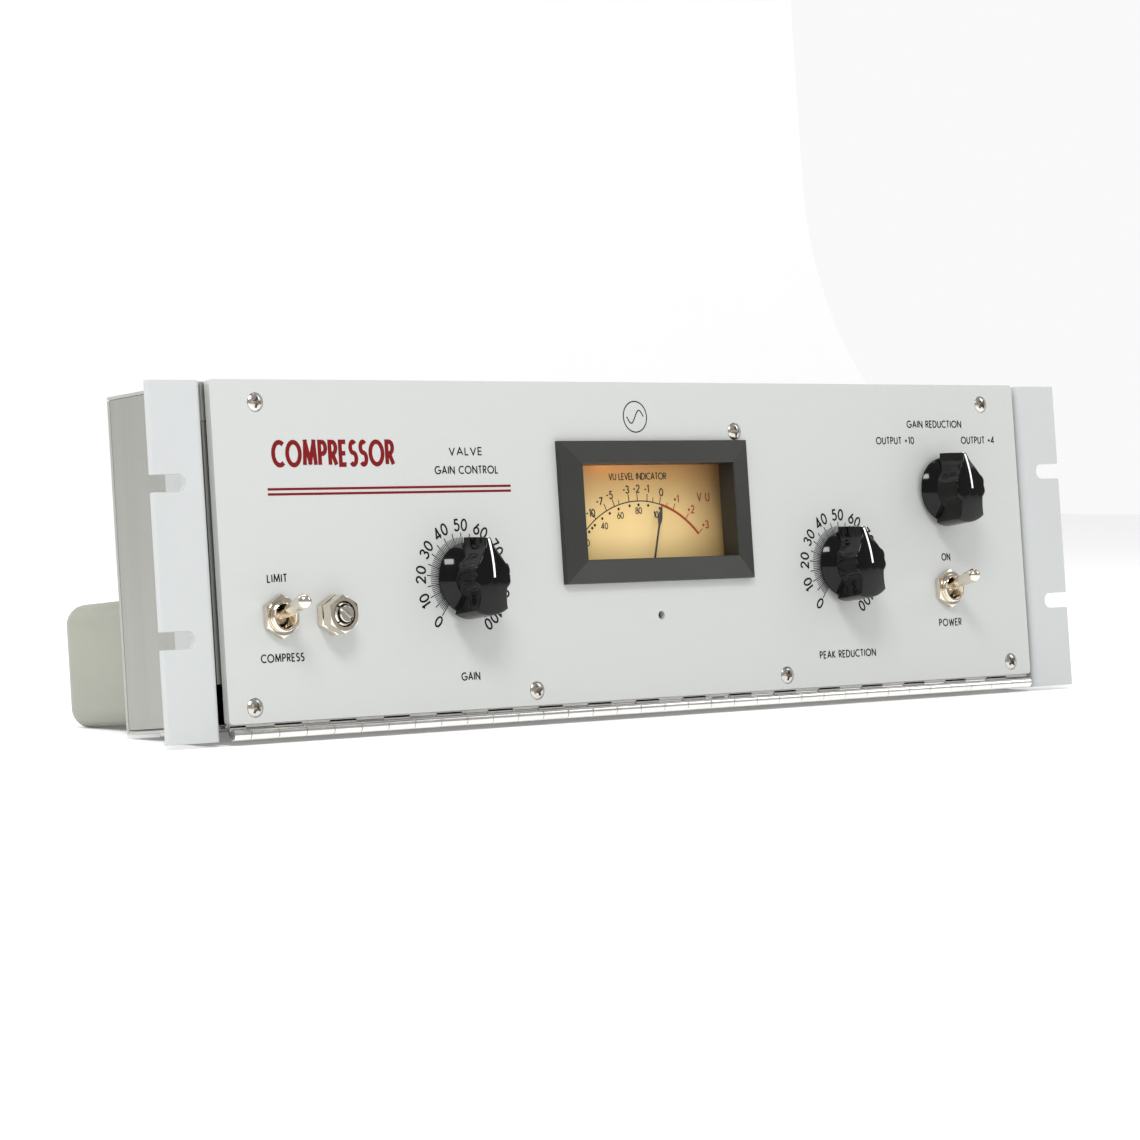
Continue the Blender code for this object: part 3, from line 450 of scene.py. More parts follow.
def dial_card():
    """Printed card with painted lamp light, amber under the lamp above it, and painted shade darker in its
    corners.
    """
    made = Finish("dial_painted_light_finish", (0.8, 0.6, 0.3), 0.75)
    source = made.nodes.new("ShaderNodeTexCoord")
    split = made.nodes.new("ShaderNodeSeparateXYZ")
    made.links.new(source.outputs["Object"], split.inputs["Vector"])

    def measured(output, low, high):
        node = made.nodes.new("ShaderNodeMapRange")
        node.inputs["From Min"].default_value = low * MM
        node.inputs["From Max"].default_value = high * MM
        made.links.new(output, node.inputs["Value"])
        return node.outputs["Result"]

    def product(first, second):
        mix = made.nodes.new("ShaderNodeMix")
        mix.data_type = "RGBA"
        mix.blend_type = "MULTIPLY"
        mix.inputs["Factor"].default_value = 1.0
        made.links.new(first, mix.inputs["A"])
        made.links.new(second, mix.inputs["B"])
        return mix.outputs["Result"]

    height = measured(split.outputs["Z"], METER[1] - 22, METER[1] + 22)
    # painted lamp light and shade: amber towards the top under the lamp, darker towards the top and bottom
    # edges
    upright = made.ramp(height, [
        (0.0, (0.50, 0.36, 0.14)),
        (0.3, (0.67, 0.49, 0.21)),
        (0.6, (0.64, 0.455, 0.185)),
        (0.82, (0.50, 0.30, 0.10)),
        (1.0, (0.44, 0.205, 0.050)),
    ])
    # painted shade: darker towards both side walls of the housing, most on the right
    across = made.ramp(measured(split.outputs["X"], -48, 50), [
        (0.0, (0.62, 0.58, 0.5)),
        (0.25, (0.92, 0.91, 0.88)),
        (0.45, (1.0, 1.0, 1.0)),
        (0.72, (0.86, 0.83, 0.77)),
        (0.9, (0.55, 0.48, 0.38)),
        (1.0, (0.33, 0.26, 0.18)),
    ])
    lit = product(upright, across)
    made.links.new(lit, made.shader.inputs["Base Color"])
    # painted glow: the card emits its own painted lamp light
    made.links.new(lit, made.shader.inputs["Emission Color"])
    made.set("Emission Strength", 0.2)
    made.bump(made.noise(1500, 2), 0.01, 0.3)
    return made.material


def lamp_glow():
    """Painted lamp light on the edge above the dial: a glowing orange pool at the lamp, fading to both
    sides.
    """
    made = Finish("lamp_painted_glow_finish", (0.5, 0.2, 0.05), 0.4)
    source = made.nodes.new("ShaderNodeTexCoord")
    split = made.nodes.new("ShaderNodeSeparateXYZ")
    made.links.new(source.outputs["Object"], split.inputs["Vector"])
    node = made.nodes.new("ShaderNodeMapRange")
    node.inputs["From Min"].default_value = -45 * MM
    node.inputs["From Max"].default_value = 45 * MM
    made.links.new(split.outputs["X"], node.inputs["Value"])
    glow = made.ramp(node.outputs["Result"], [
        (0.0, (0.16, 0.04, 0.006)),
        (0.24, (0.5, 0.15, 0.025)),
        (0.285, (1.0, 0.5, 0.13)),
        (0.3, (1.0, 0.9, 0.55)),
        (0.315, (1.0, 0.5, 0.13)),
        (0.36, (0.55, 0.17, 0.03)),
        (0.6, (0.14, 0.04, 0.008)),
        (1.0, (0.03, 0.01, 0.003)),
    ])
    # painted light: the lamp's orange light on the inner top edge is painted and emitted by the edge itself
    made.links.new(glow, made.shader.inputs["Base Color"])
    made.links.new(glow, made.shader.inputs["Emission Color"])
    made.set("Emission Strength", 1.6)
    return made.material


def glass(name, tint=(0.96, 0.98, 0.97), alpha=0.12):
    """Thin clear glass, with a little dust that shows in its gloss."""
    made = Finish(name, tint, 0.03, 0.0, Alpha=alpha, IOR=1.5, Coat_Weight=1.0, Coat_Roughness=0.02)
    made.rough(made.noise(160, 4), 0.01, 0.07)
    return made.material


def hammered(name, colour):
    """Hammer-finish paint on a transformer can."""
    made = Finish(name, colour, 0.45, 0.0, Coat_Weight=0.1, Coat_Roughness=0.3)
    cells = made.nodes.new("ShaderNodeTexVoronoi")
    cells.feature = "SMOOTH_F1"
    cells.inputs["Scale"].default_value = 620
    made.links.new(made.coordinates((1, 1, 1)), cells.inputs["Vector"])
    made.bump(cells.outputs["Distance"], 0.05, 0.35)
    made.colour(made.noise(30, 3), [(0.3, tone(colour, 0.95)), (0.7, tone(colour, 1.05))])
    made.rough(made.noise(300, 3), 0.38, 0.55)
    return made.material


FINISH = {
    "panel": panel_paint(),
    "ear": satin_paint("ear_finish", (0.452, 0.466, 0.465), 0.42),
    "side": brushed("side_finish", (0.385, 0.385, 0.36), (400, 2600, 14), 0.42),
    "cover": brushed("cover_finish", (0.52, 0.515, 0.49), (14, 2600, 2600), 0.4),
    "rear": brushed("rear_finish", (0.45, 0.447, 0.42), (12, 400, 2400), 0.42),
    "nickel": plated("nickel_finish", (0.80, 0.735, 0.63), 0.15),
    "hinge": plated("hinge_finish", (0.86, 0.85, 0.82), 0.2),
    "screw": plated("screw_finish", (0.62, 0.59, 0.54), 0.22),
    "bakelite": bakelite(),
    "bezel": moulded("bezel_finish", (0.018, 0.018, 0.015), 0.45),
    "lining": ink("lining_finish", (0.016, 0.008, 0.003)),
    "black_plastic": moulded("black_plastic_finish", (0.012, 0.012, 0.012), 0.4),
    "black_ink": ink("black_ink_finish", (0.008, 0.008, 0.009)),
    "tick_ink": ink("tick_ink_finish", (0.02, 0.02, 0.022)),
    "red_ink": ink("red_ink_finish", (0.15, 0.005, 0.006)),
    "scale_red": ink("scale_red_finish", (0.30, 0.032, 0.006)),
    "scale_black": ink("scale_black_finish", (0.02, 0.011, 0.004)),
    "white_fill": ink("white_fill_finish", (0.86, 0.86, 0.84)),
    # dial card: painted lamp light and shade, with a painted glow
    "dial": dial_card(),
    # edge above the dial: painted glow of the lamp's light
    "lamp": lamp_glow(),
    "glass": glass("meter_glass_finish", alpha=0.012),
    "valve_glass": glass("valve_glass_finish", (0.93, 0.96, 0.96), 0.2),
    "can": hammered("can_finish", (0.268, 0.274, 0.228)),
    "aluminium": brushed("aluminium_finish", (0.76, 0.76, 0.75), (2000, 14, 2000), 0.3),
    "electrode": plated("electrode_finish", (0.12, 0.12, 0.12), 0.45),
    "getter": plated("getter_finish", (0.5, 0.5, 0.52), 0.12),
    "gold": plated("gold_finish", (0.85, 0.62, 0.28), 0.2),
    "laminate": moulded("laminate_finish", (0.16, 0.085, 0.035), 0.45),
    "ceramic": moulded("ceramic_finish", (0.72, 0.69, 0.62), 0.4),
    "tan_body": moulded("tan_body_finish", (0.42, 0.27, 0.14), 0.4),
    "orange_body": moulded("orange_body_finish", (0.55, 0.12, 0.02), 0.35),
    "blue_body": moulded("blue_body_finish", (0.03, 0.07, 0.2), 0.35),
}


# ---------------------------------------------------------------- lettering

# Strokes on a grid one unit high. A stroke is a list of points, and an arc is given as
# ("arc", centre u, centre v, radius u, radius v, start, end) in degrees.
GLYPHS = {
    "A": (0.72, [[(0, 0), (0.36, 1), (0.72, 0)], [(0.12, 0.32), (0.60, 0.32)]]),
    "C": (0.74, [("arc", 0.48, 0.5, 0.48, 0.5, 52, 308)]),
    "D": (0.68, [[(0, 0), (0, 1), (0.2, 1)], ("arc", 0.2, 0.5, 0.48, 0.5, 90, -90),
                 [(0.2, 0), (0, 0)]]),
    "E": (0.44, [[(0.44, 0), (0, 0), (0, 1), (0.44, 1)], [(0, 0.5), (0.4, 0.5)]]),
    "G": (0.9, [("arc", 0.48, 0.5, 0.48, 0.5, 50, 356), [(0.96, 0.46), (0.5, 0.46)]]),
    "I": (0.0, [[(0, 0), (0, 1)]]),
    "K": (0.5, [[(0, 0), (0, 1)], [(0.5, 1), (0.04, 0.52), (0.52, 0)]]),
    "L": (0.4, [[(0, 1), (0, 0), (0.4, 0)]]),
    "M": (0.86, [[(0, 0), (0.1, 1), (0.43, 0.12), (0.76, 1), (0.86, 0)]]),
    "N": (0.68, [[(0, 0), (0, 1), (0.68, 0), (0.68, 1)]]),
    "O": (0.98, [("arc", 0.49, 0.5, 0.49, 0.5, 90, 450)]),
    "P": (0.46, [[(0, 0), (0, 1), (0.2, 1)], ("arc", 0.2, 0.74, 0.26, 0.26, 90, -90),
                 [(0.2, 0.48), (0, 0.48)]]),
    "R": (0.48, [[(0, 0), (0, 1), (0.2, 1)], ("arc", 0.2, 0.74, 0.26, 0.26, 90, -90),
                 [(0.2, 0.48), (0, 0.48)], [(0.2, 0.48), (0.48, 0)]]),
    "S": (0.46, [("arc", 0.23, 0.76, 0.2, 0.24, 40, 270), ("arc", 0.23, 0.26, 0.23, 0.26, 90, -140)]),
    "T": (0.5, [[(0.25, 0), (0.25, 1)], [(0, 1), (0.5, 1)]]),
    "U": (0.6, [[(0, 1), (0, 0.3)], ("arc", 0.3, 0.3, 0.3, 0.3, 180, 360), [(0.6, 0.3), (0.6, 1)]]),
    "V": (0.66, [[(0, 1), (0.33, 0), (0.66, 1)]]),
    "W": (1.0, [[(0, 1), (0.26, 0), (0.5, 0.9), (0.74, 0), (1.0, 1)]]),
    "0": (0.58, [("arc", 0.29, 0.5, 0.29, 0.5, 90, 450)]),
    "1": (0.2, [[(0, 0.84), (0.2, 1), (0.2, 0)]]),
    "2": (0.56, [("arc", 0.28, 0.72, 0.26, 0.28, 170, -28), [(0.51, 0.6), (0, 0), (0.56, 0)]]),
    "3": (0.52, [("arc", 0.24, 0.76, 0.23, 0.24, 160, -90), ("arc", 0.24, 0.27, 0.28, 0.27, 90, -160)]),
    "4": (0.6, [[(0.44, 0), (0.44, 1), (0, 0.26), (0.6, 0.26)]]),
    "5": (0.54, [[(0.5, 1), (0.14, 1), (0.08, 0.56)], ("arc", 0.25, 0.32, 0.29, 0.32, 128, -150)]),
    "6": (0.56, [[(0.38, 1), (0.06, 0.46)], ("arc", 0.28, 0.3, 0.28, 0.3, 150, 510)]),
    "7": (0.54, [[(0, 1), (0.54, 1), (0.14, 0)]]),
    "8": (0.54, [("arc", 0.27, 0.76, 0.22, 0.24, 90, 450), ("arc", 0.27, 0.27, 0.27, 0.27, 90, 450)]),
    "9": (0.56, [[(0.18, 0), (0.5, 0.54)], ("arc", 0.28, 0.7, 0.28, 0.3, -30, 330)]),
    "+": (0.44, [[(0, 0.45), (0.44, 0.45)], [(0.22, 0.23), (0.22, 0.67)]]),
    "-": (0.34, [[(0, 0.45), (0.34, 0.45)]]),
    " ": (0.22, []),
}
ARC_STEP = 15  # degrees
INK_LAYERS = 7
INK_STEP = 0.003
SHARP_CORNER = 0.7  # a stroke is cut where the cosine of its turn is below this
LEAST_STRETCH = 0.62  # keeps a ribbon's mitres short


def stroke_points(stroke):
    """(points, closed) of a glyph's stroke."""
    if stroke[0] != "arc":
        return stroke, False
    _, u, v, radius_u, radius_v, start, end = stroke
    steps = max(4, round(abs(end - start) / ARC_STEP))
    whole = abs(end - start) == 360
    points = []
    for k in range(steps + (0 if whole else 1)):
        a = math.radians(start + (end - start) * k / steps)
        points.append((u + radius_u * math.cos(a), v + radius_v * math.sin(a)))
    return points, whole


def add_ribbon(mesh, points, width, depth, closed=False, thick=INK):
    """A closed flat bar along (x, z) points, standing on the surface at the given depth."""
    count = len(points)
    rows = []
    for k in range(count):
        before = points[(k - 1) % count] if closed or k else points[k]
        after = points[(k + 1) % count] if closed or k < count - 1 else points[k]
        here = Vector(points[k])
        back = (here - Vector(before)).normalized() if before != points[k] else None
        ahead = (Vector(after) - here).normalized() if after != points[k] else None
        back = back or ahead
        ahead = ahead or back
        along = (back + ahead).normalized()
        normal = Vector((-along.y, along.x))
        stretch = max(LEAST_STRETCH, normal.dot(Vector((-ahead.y, ahead.x))))
        offset = normal * (width / 2 / stretch)
        rows.append([
            mesh.verts.new(at(here.x + s * offset.x, depth - t, here.y + s * offset.y))
            for s, t in ((-1, thick), (1, thick), (1, 0), (-1, 0))
        ])
    pairs = list(zip(rows, rows[1:])) + ([(rows[-1], rows[0])] if closed else [])
    for near, far in pairs:
        join_rings(mesh, near, far)
    if not closed:
        mesh.faces.new(rows[0])
        mesh.faces.new(reversed(rows[-1]))


def split_corners(points, width):
    """Cuts a stroke at its sharp corners, running each part on far enough to close the corner."""
    parts = [[points[0]]]
    for k in range(1, len(points)):
        parts[-1].append(points[k])
        if k + 1 == len(points):
            continue
        here = Vector(points[k])
        back = (here - Vector(points[k - 1])).normalized()
        ahead = (Vector(points[k + 1]) - here).normalized()
        if back.dot(ahead) < SHARP_CORNER:
            parts[-1][-1] = tuple(here + back * width / 2)
            parts.append([tuple(here - ahead * width / 2)])
    return parts


def text_width(text, height, tracking):
    """Width of a line of text; tracking is the gap between letters, as a share of the height."""
    return sum(GLYPHS[c][0] + tracking for c in text) * height - tracking * height


def add_text(mesh, text, centre, height, width, depth, turn=0.0, tracking=0.3, fit=None):
    """Writes text about its centre, turned anticlockwise by degrees. fit stretches it to a width."""
    natural = text_width(text, height, tracking)
    widen = fit / natural if fit else 1.0
    cos, sin = math.cos(math.radians(turn)), math.sin(math.radians(turn))
    start = -natural / 2
    layer = 0
    for letter in text:
        advance, strokes = GLYPHS[letter]
        for stroke in strokes:
            points, closed = stroke_points(stroke)
            placed = []
            for u, v in points:
                across = (start + u * height) * widen
                up = (v - 0.5) * height
                placed.append((centre[0] + across * cos - up * sin,
                               centre[1] + across * sin + up * cos))
            parts = [placed] if closed else split_corners(placed, width)
            for part in parts:
                layer = (layer + 1) % INK_LAYERS  # overlapping strokes must not share one plane
                add_ribbon(mesh, part, width, depth, closed, INK - INK_STEP * layer)
        start += (advance + tracking) * height


def ring_point(centre, radius, degrees):
    """A point on a circle, with degrees clockwise from the top."""
    a = math.radians(degrees)
    return centre[0] + radius * math.sin(a), centre[1] + radius * math.cos(a)


# ---------------------------------------------------------------- printing on the door

LABEL_HEIGHT = 2.75
LABEL_STROKE = 0.52
DIAL_SWEEP = 140.0
DIVISIONS = 100
NUMBER_HEIGHT = 4.2
NUMBER_STROKE = 0.76
NUMBER_RADIUS = 20.9
NUMBER_TRACKING = 0.32
TICK_START = 11.4
LONG_TICK = (17.9, 0.4)  # outer radius and stroke
SHORT_TICK = (16.1, 0.3)
RULE_LEVELS = (92.0, 90.1)
RULE_ENDS = (-191, -74.5)
RULE_STROKE = 0.9
RING_CENTRE = (-7.5, 119.0)
RING_RADIUS = 6.2
RING_STROKE = 0.45


def printed_labels():
    """Names of the controls."""
    labels = [
        ("GAIN", (GAIN[0] + 0.6, 18.8), 8.8),
        ("PEAK REDUCTION", (PEAK[0] + 0.9, 19.2), 32.5),
        ("LIMIT", (LIMIT[0], 59.0), 8.8),
        ("COMPRESS", (LIMIT[0] + 0.4, 29.5), 19.4),
        ("ON", (POWER[0] + 0.3, 58.4), 4.9),
        ("POWER", (POWER[0] + 0.4, 30.2), 13.4),
        ("GAIN REDUCTION", (SELECT[0] - 1.1, 115.8), 33.2),
        ("OUTPUT +10", (SELECT[0] - 25.6, 108.8), 22.6),
        ("OUTPUT +4", (SELECT[0] + 25.4, 108.8), 20.5),
    ]
    mesh = bmesh.new()
    for text, centre, width in labels:
        add_text(mesh, text, centre, LABEL_HEIGHT, LABEL_STROKE, 0, fit=width)
    piece("printed_labels", mesh, "black_ink", "door")


def printed_scale(name, centre):
    """0 to 100 round a knob, with a tick for each division."""
    numbers = bmesh.new()
    for value in range(0, 101, 10):
        angle = DIAL_SWEEP * (value / 50 - 1)
        text = str(value)
        place = -text_width(text, NUMBER_HEIGHT, NUMBER_TRACKING) / 2
        for letter in text:
            half = GLYPHS[letter][0] * NUMBER_HEIGHT / 2
            turn = angle + math.degrees((place + half) / NUMBER_RADIUS)
            spot = ring_point(centre, NUMBER_RADIUS, turn)
            add_text(numbers, letter, spot, NUMBER_HEIGHT, NUMBER_STROKE, 0, -turn)
            place += 2 * half + NUMBER_TRACKING * NUMBER_HEIGHT
    piece(f"{name}_numbers", numbers, "black_ink", "door")
    ticks = bmesh.new()
    for division in range(DIVISIONS + 1):
        angle = DIAL_SWEEP * (division / 50 - 1)
        outer, width = LONG_TICK if division % 5 == 0 else SHORT_TICK
        ends = [ring_point(centre, TICK_START, angle), ring_point(centre, outer, angle)]
        add_ribbon(ticks, ends, width, 0)
    piece(f"{name}_ticks", ticks, "tick_ink", "door")


def printed_title():
    """A plain generic title over two straight rules, a caption, and a ring with a wave in it."""
    red = bmesh.new()
    add_text(red, "COMPRESSOR", (-159.5, 105.2), 8.6, 1.75, 0, tracking=0.34, fit=56.0)
    for level in RULE_LEVELS:
        add_ribbon(red, [(x, level) for x in RULE_ENDS], RULE_STROKE, 0)
    piece("printed_title", red, "red_ink", "door")
    black = bmesh.new()
    add_text(black, "VALVE", (-96, 105.6), LABEL_HEIGHT, LABEL_STROKE, 0, fit=16)
    add_text(black, "GAIN CONTROL", (-96, 98.4), LABEL_HEIGHT, LABEL_STROKE, 0, fit=31)
    add_ribbon(black, arc(*RING_CENTRE, RING_RADIUS, 0, 360, 48)[:-1], RING_STROKE, 0, closed=True)
    wave = [(RING_CENTRE[0] + u * 4.4, RING_CENTRE[1] + 2.6 * math.sin(u * math.pi))
            for u in (k / 12 for k in range(-12, 13))]
    add_ribbon(black, wave, RING_STROKE, 0)
    piece("printed_captions", black, "black_ink", "door")


# ---------------------------------------------------------------- controls

KNOB_FACE, KNOB_BASE = depths("gain_knob")
POINTER = 15.3
HALF_LINE = 0.45
GRIP_ROUND = 9.2  # the grip behind its flutes
GRIP_KNOTS = ((1.15, 15.3), (1.5, 13.6), (2.0, 12.0), (2.9, 10.4), (4.3, 8.6), (5.7, 6.5), (6.9, 4.9),
              (7.95, 4.1), (8.75, 2.9), (8.75, 1.4), (8.4, 0.0), (8.75, -1.4), (8.75, -2.9), (7.9, -4.1),
              (6.9, -5.0), (6.6, -6.6), (6.75, -8.8), (7.0, -10.6), (7.4, -12.2), (7.8, -13.16))
# Rings of the grip, back to front: distance from the skirt's rear face, share of fluting, stretch.
GRIP_RINGS = ((1.4, 0, 1.035), (7.0, 0, 1.015), (8.0, 0.25, 1.01), (9.2, 0.65, 1.003),
              (10.8, 0.92, 0.995), (12.4, 1, 0.987))
# Rings of its face from the edge inwards: share of the outline, and distance behind the dome.
FACE_RINGS = ((0.98, 1.0), (0.972, 0.45), (0.953, 0.12), (0.92, 0.0), (0.85, 0), (0.7, 0), (0.5, 0),
              (0.3, 0), (0.12, 0))
LINE_STEPS = (-0.6, 1.5, 3.5, 5.5, 7.5, 9.5, 11.5, 13.0, 14.1)


def flowing(knots, steps=4):
    """A smooth curve through all the knots."""
    points = []
    for k in range(len(knots) - 1):
        before, near = knots[max(k - 1, 0)], knots[k]
        far, after = knots[k + 1], knots[min(k + 2, len(knots) - 1)]
        for step in range(steps):
            t = step / steps
            points.append(tuple(
                0.5 * (2 * b + (c - a) * t + (2 * a - 5 * b + 4 * c - d) * t ** 2
                       + (3 * b - a - 3 * c + d) * t ** 3)
                for a, b, c, d in zip(before, near, far, after)))
    return [*points, knots[-1]]


def grip_outline(flute):
    """The grip seen from the front: round at the sides where flute is 0, fully fluted at 1."""
    side = []
    for x, z in flowing(GRIP_KNOTS):
        radius = math.hypot(x, z)
        swell = max(GRIP_ROUND / radius, 1.0)
        factor = swell + (1 - swell) * flute
        side.append((x * factor, z * factor))
    side += [ring_point((0, 0), POINTER, a) for a in (154, 160, 167, 174)]
    return [*side, (0, -POINTER), *[(-x, z) for x, z in reversed(side)]]


def face_depth(radius):
    """A knob's face is a shallow dome."""
    return KNOB_FACE + 0.9 + 2.5 * (radius / POINTER) ** 2


def knob(name, shaft, body, centre, turn=0.0):
    """A polished pointer knob: a conical skirt, a fluted grip and a filled pointer line.

    turn is how far its pointer stands from upright, in degrees clockwise.
    """
    skirt = turned([
        (8.2, KNOB_BASE),
        (13.5, KNOB_BASE),
        (13.8, KNOB_BASE - 0.25),
        (13.8, KNOB_BASE - 0.75),
        (13.55, KNOB_BASE - 1.1),
        (9.4, KNOB_BASE - 5.0),
        (8.2, KNOB_BASE - 5.4),
    ], centre, 96)
    piece(f"{name}_skirt", skirt, "bakelite", body, (), "black_bakelite", smooth=25)
    cos, sin = math.cos(math.radians(turn)), math.sin(math.radians(turn))

    def spot(x, depth, z):
        return at(centre[0] + x * cos + z * sin, depth, centre[1] - x * sin + z * cos)

    loops = []
    for back, flute, stretch in GRIP_RINGS:
        loops.append([spot(x * min(stretch, 1), KNOB_BASE - back, z * stretch)
                      for x, z in grip_outline(flute)])
    for shrink, back in FACE_RINGS:
        loops.append([spot(x * shrink, face_depth(math.hypot(x, z) * shrink) + back, z * shrink)
                      for x, z in grip_outline(1)])
    piece(f"{name}_grip", lofted(loops), "bakelite", body, (name, shaft), "black_bakelite",
          smooth=40)

    tip = POINTER * 0.98
    path = [(face_depth(abs(z)) - 0.05, z) for z in LINE_STEPS]
    path += [(face_depth(tip) + 0.12, tip - 0.35), (face_depth(tip) + 0.5, tip - 0.05),
             (face_depth(tip) + 1.2, tip + 0.06)]
    line = [[spot(s * HALF_LINE, depth + back, z - back * 0.6)
             for s, back in ((-1, 0), (1, 0), (1, 0.25), (-1, 0.25))]
            for depth, z in path]
    piece(f"{name}_line", lofted(line), "white_fill", body)


CHAMFER_SLOPE = 0.55


def chamfered_hex(centre, flats, back, front, bore, sides=48):
    """A hexagon nut whose front corners are turned off."""
    corner = flats / math.sqrt(3)
    blank = extrude(hexagon(centre, flats), back, front)
    reach = front + CHAMFER_SLOPE * (corner + 2 - flats / 2)
    cone = turned([
        (0, back + 1), (corner + 2, back + 1), (corner + 2, reach),
        (flats / 2, front), (0, front),
    ], centre, 96)
    nut = boolean(blank, cone, "INTERSECT")
    return cut(nut, disc(bore, back + 2, front - 2, centre, sides))


def thread_rings(centre, radius, start, end, pitch=0.7):
    """A threaded length, as a profile of fine ridges."""
    profile = [(radius - 1.0, end), (radius - 0.15, end)]
    depth = end
    while depth - pitch > start:
        profile += [(radius, depth - pitch * 0.5), (radius - 0.22, depth - pitch)]
        depth -= pitch
    profile += [(radius - 0.1, start + 0.15), (radius - 0.35, start), (radius - 1.0, start)]
    return turned(profile, centre, 64)


BAT_PIVOT = 0.5
BAT_LENGTH = 19.8
BAT_TIP = 3.0
BAT_TILT = -16
BUSHING_RIM = 5.95


def toggle(label, centre, body):
    """A bat-handle toggle with a dished bushing and a dress nut."""
    nut_front, nut_back = depths(f"{label}_switch_nut")
    _, (bushing_front, box_back), (box_low, box_high) = span(f"{label}_switch")
    nut = piece(f"{label}_dress_nut", chamfered_hex(centre, 14.3, nut_back, nut_front, 6.0),
                "nickel", "door", f"{label}_switch_nut", "nickel", smooth=20)
    bevel(nut, 0.12, 2)
    dish = [(3.5, 4.4), (3.9, 2.6), (4.55, 0.5), (4.75, 0.15), (4.9, 0)]
    lip = [(0.5, 0), (0.12, 0.3), (0.12, 1.0), (0.5, 1.2), (0.5, 1.45), (0, 1.7)]
    bushing = turned([
        (3.5, 8.0),
        *[(radius, bushing_front + back) for radius, back in dish],
        *[(BUSHING_RIM - inset, bushing_front + back) for inset, back in lip],
        (BUSHING_RIM, 3.9),
        (4.6, 8.0),
    ], centre, 64)
    case = slab(centre[0] - 6.5, centre[0] + 6.5, 4.0, box_back, box_low, box_high)
    works = piece(f"{label}_switch_case", case, "black_plastic", "door")
    bevel(works, 0.5)
    piece(f"{label}_bushing", bushing, "nickel", "door", f"{label}_switch", "nickel", smooth=25)
    lugs = together(*[
        slab(centre[0] - 2.4, centre[0] + 2.4, box_back - 0.2, box_back + 5.5, z - 0.4, z + 0.4)
        for z in (centre[1] - 9, centre[1], centre[1] + 9)
    ])
    piece(f"{label}_switch_lugs", lugs, "screw", "door")

    profile = [(0, 4.6), (1.2, 4.4), (1.2, 3.1)]
    profile += [(3.3 * math.sin(a), 3.3 * math.cos(a))
                for a in (math.radians(d) for d in range(22, 131, 12))]
    profile += [(2.15, -3.3), (2.1, -4.2), (2.2, -6.0)]
    profile += [(2.2 + (BAT_TIP - 2.2) * k / 6, -6.0 - (BAT_LENGTH - BAT_TIP - 6.0) * k / 6)
                for k in range(1, 7)]
    profile += [(BAT_TIP * math.cos(math.radians(a)),
                 -BAT_LENGTH + BAT_TIP * (1 - math.sin(math.radians(a)))) for a in range(9, 90, 9)]
    profile.append((0, -BAT_LENGTH))
    handle = turned([(r, d + BAT_PIVOT) for r, d in profile], centre, 48)
    spun(handle, at(centre[0], BAT_PIVOT, centre[1]), BAT_TILT, "X")
    piece(f"{label}_bat", handle, "nickel", body, f"{label}_lever", "nickel", smooth=50)


COLLET_TURN = 45
SLOT_TURN = 42


def preset():
    """The screwdriver preset: two nuts, a split collet and a slotted shaft."""
    x, z = PRESET
    nut_front, nut_back = depths("emphasis_lock_nut")
    base_front, base_back = depths("emphasis_lock_base")
    collet_front = depths("emphasis_pot")[0]
    shaft_front = depths("emphasis_shaft")[0]
    base = piece("preset_base_nut", chamfered_hex(PRESET, 13.3, base_back, base_front, 4.9),
                 "nickel", "door", "emphasis_lock_base", "nickel", smooth=20)
    bevel(base, 0.12, 2)
    nut = piece("preset_lock_nut", chamfered_hex(PRESET, 12.7, nut_back, nut_front, 4.9),
                "nickel", "lock_nut", "emphasis_lock_nut", "nickel", smooth=20)
    bevel(nut, 0.12, 2)
    collet = turned([
        (3.55, 3.4), (3.55, collet_front + 0.4), (3.7, collet_front), (4.0, collet_front),
        (4.5, collet_front + 0.7), (4.5, 3.4),
    ], PRESET, 48)
    slots = [slab(x - 0.3, x + 0.3, -14, -5, z - 6, z + 6), slab(x - 6, x + 6, -14, -5, z - 0.3, z + 0.3)]
    centre = at(x, 0, z)
    for tool in slots:
        spun(tool, centre, COLLET_TURN)
    piece("preset_collet", cut(collet, *slots), "nickel", "door", (), "nickel", smooth=25)
    works = turned([(0, 13.5), (7.6, 13.5), (8.5, 12.8), (8.5, 4.4), (7.8, 3.7), (0, 3.7)], PRESET, 48)
    piece("preset_case", works, "screw", "door", "emphasis_pot", "nickel", smooth=25)
    stem = turned([(0, shaft_front), (2.75, shaft_front), (3.1, shaft_front + 0.35), (3.1, 3.2), (0, 3.2)],
                  PRESET, 48)
    slot_tool = slab(x - 5, x + 5, shaft_front - 2, shaft_front + 1.4, z - 0.55, z + 0.55)
    spun(slot_tool, centre, SLOT_TURN)
    piece("preset_shaft", cut(stem, slot_tool), "screw", "emphasis_adjuster", "emphasis_shaft",
          "zinc", smooth=25)


SCREW_HEAD = 3.35


def oval_screw(node, turn):
    """A cross-recessed oval head in its countersink."""
    x, z = centre = middle(node)
    end = depths(node)[1]
    profile = [(0, -0.95), (0.8, -0.93), (1.6, -0.8), (2.4, -0.55), (3.0, -0.2), (SCREW_HEAD, 0.12),
               (SCREW_HEAD - 0.1, 0.3), (1.7, 2.0), (1.7, end - 0.5), (1.2, end), (0, end)]
    blank = turned(profile, centre, 40)
    arms = [spun(slab(x - 0.55, x + 0.55, -2.0, 1.3, z - 2.2, z + 2.2), at(x, 0, z), turn + along)
            for along in (0, 90)]
    pit = turned([(0, -2), (1.45, -2), (1.15, -0.4), (0.6, 1.5), (0, 1.6)], centre, 16)
    piece(f"{node}_head", cut(blank, *arms, pit), "screw", "door", node, "zinc", smooth=30)


POT_RADIUS = 12.0
TAG_END = 18.5  # distance of a tag's end from the shaft


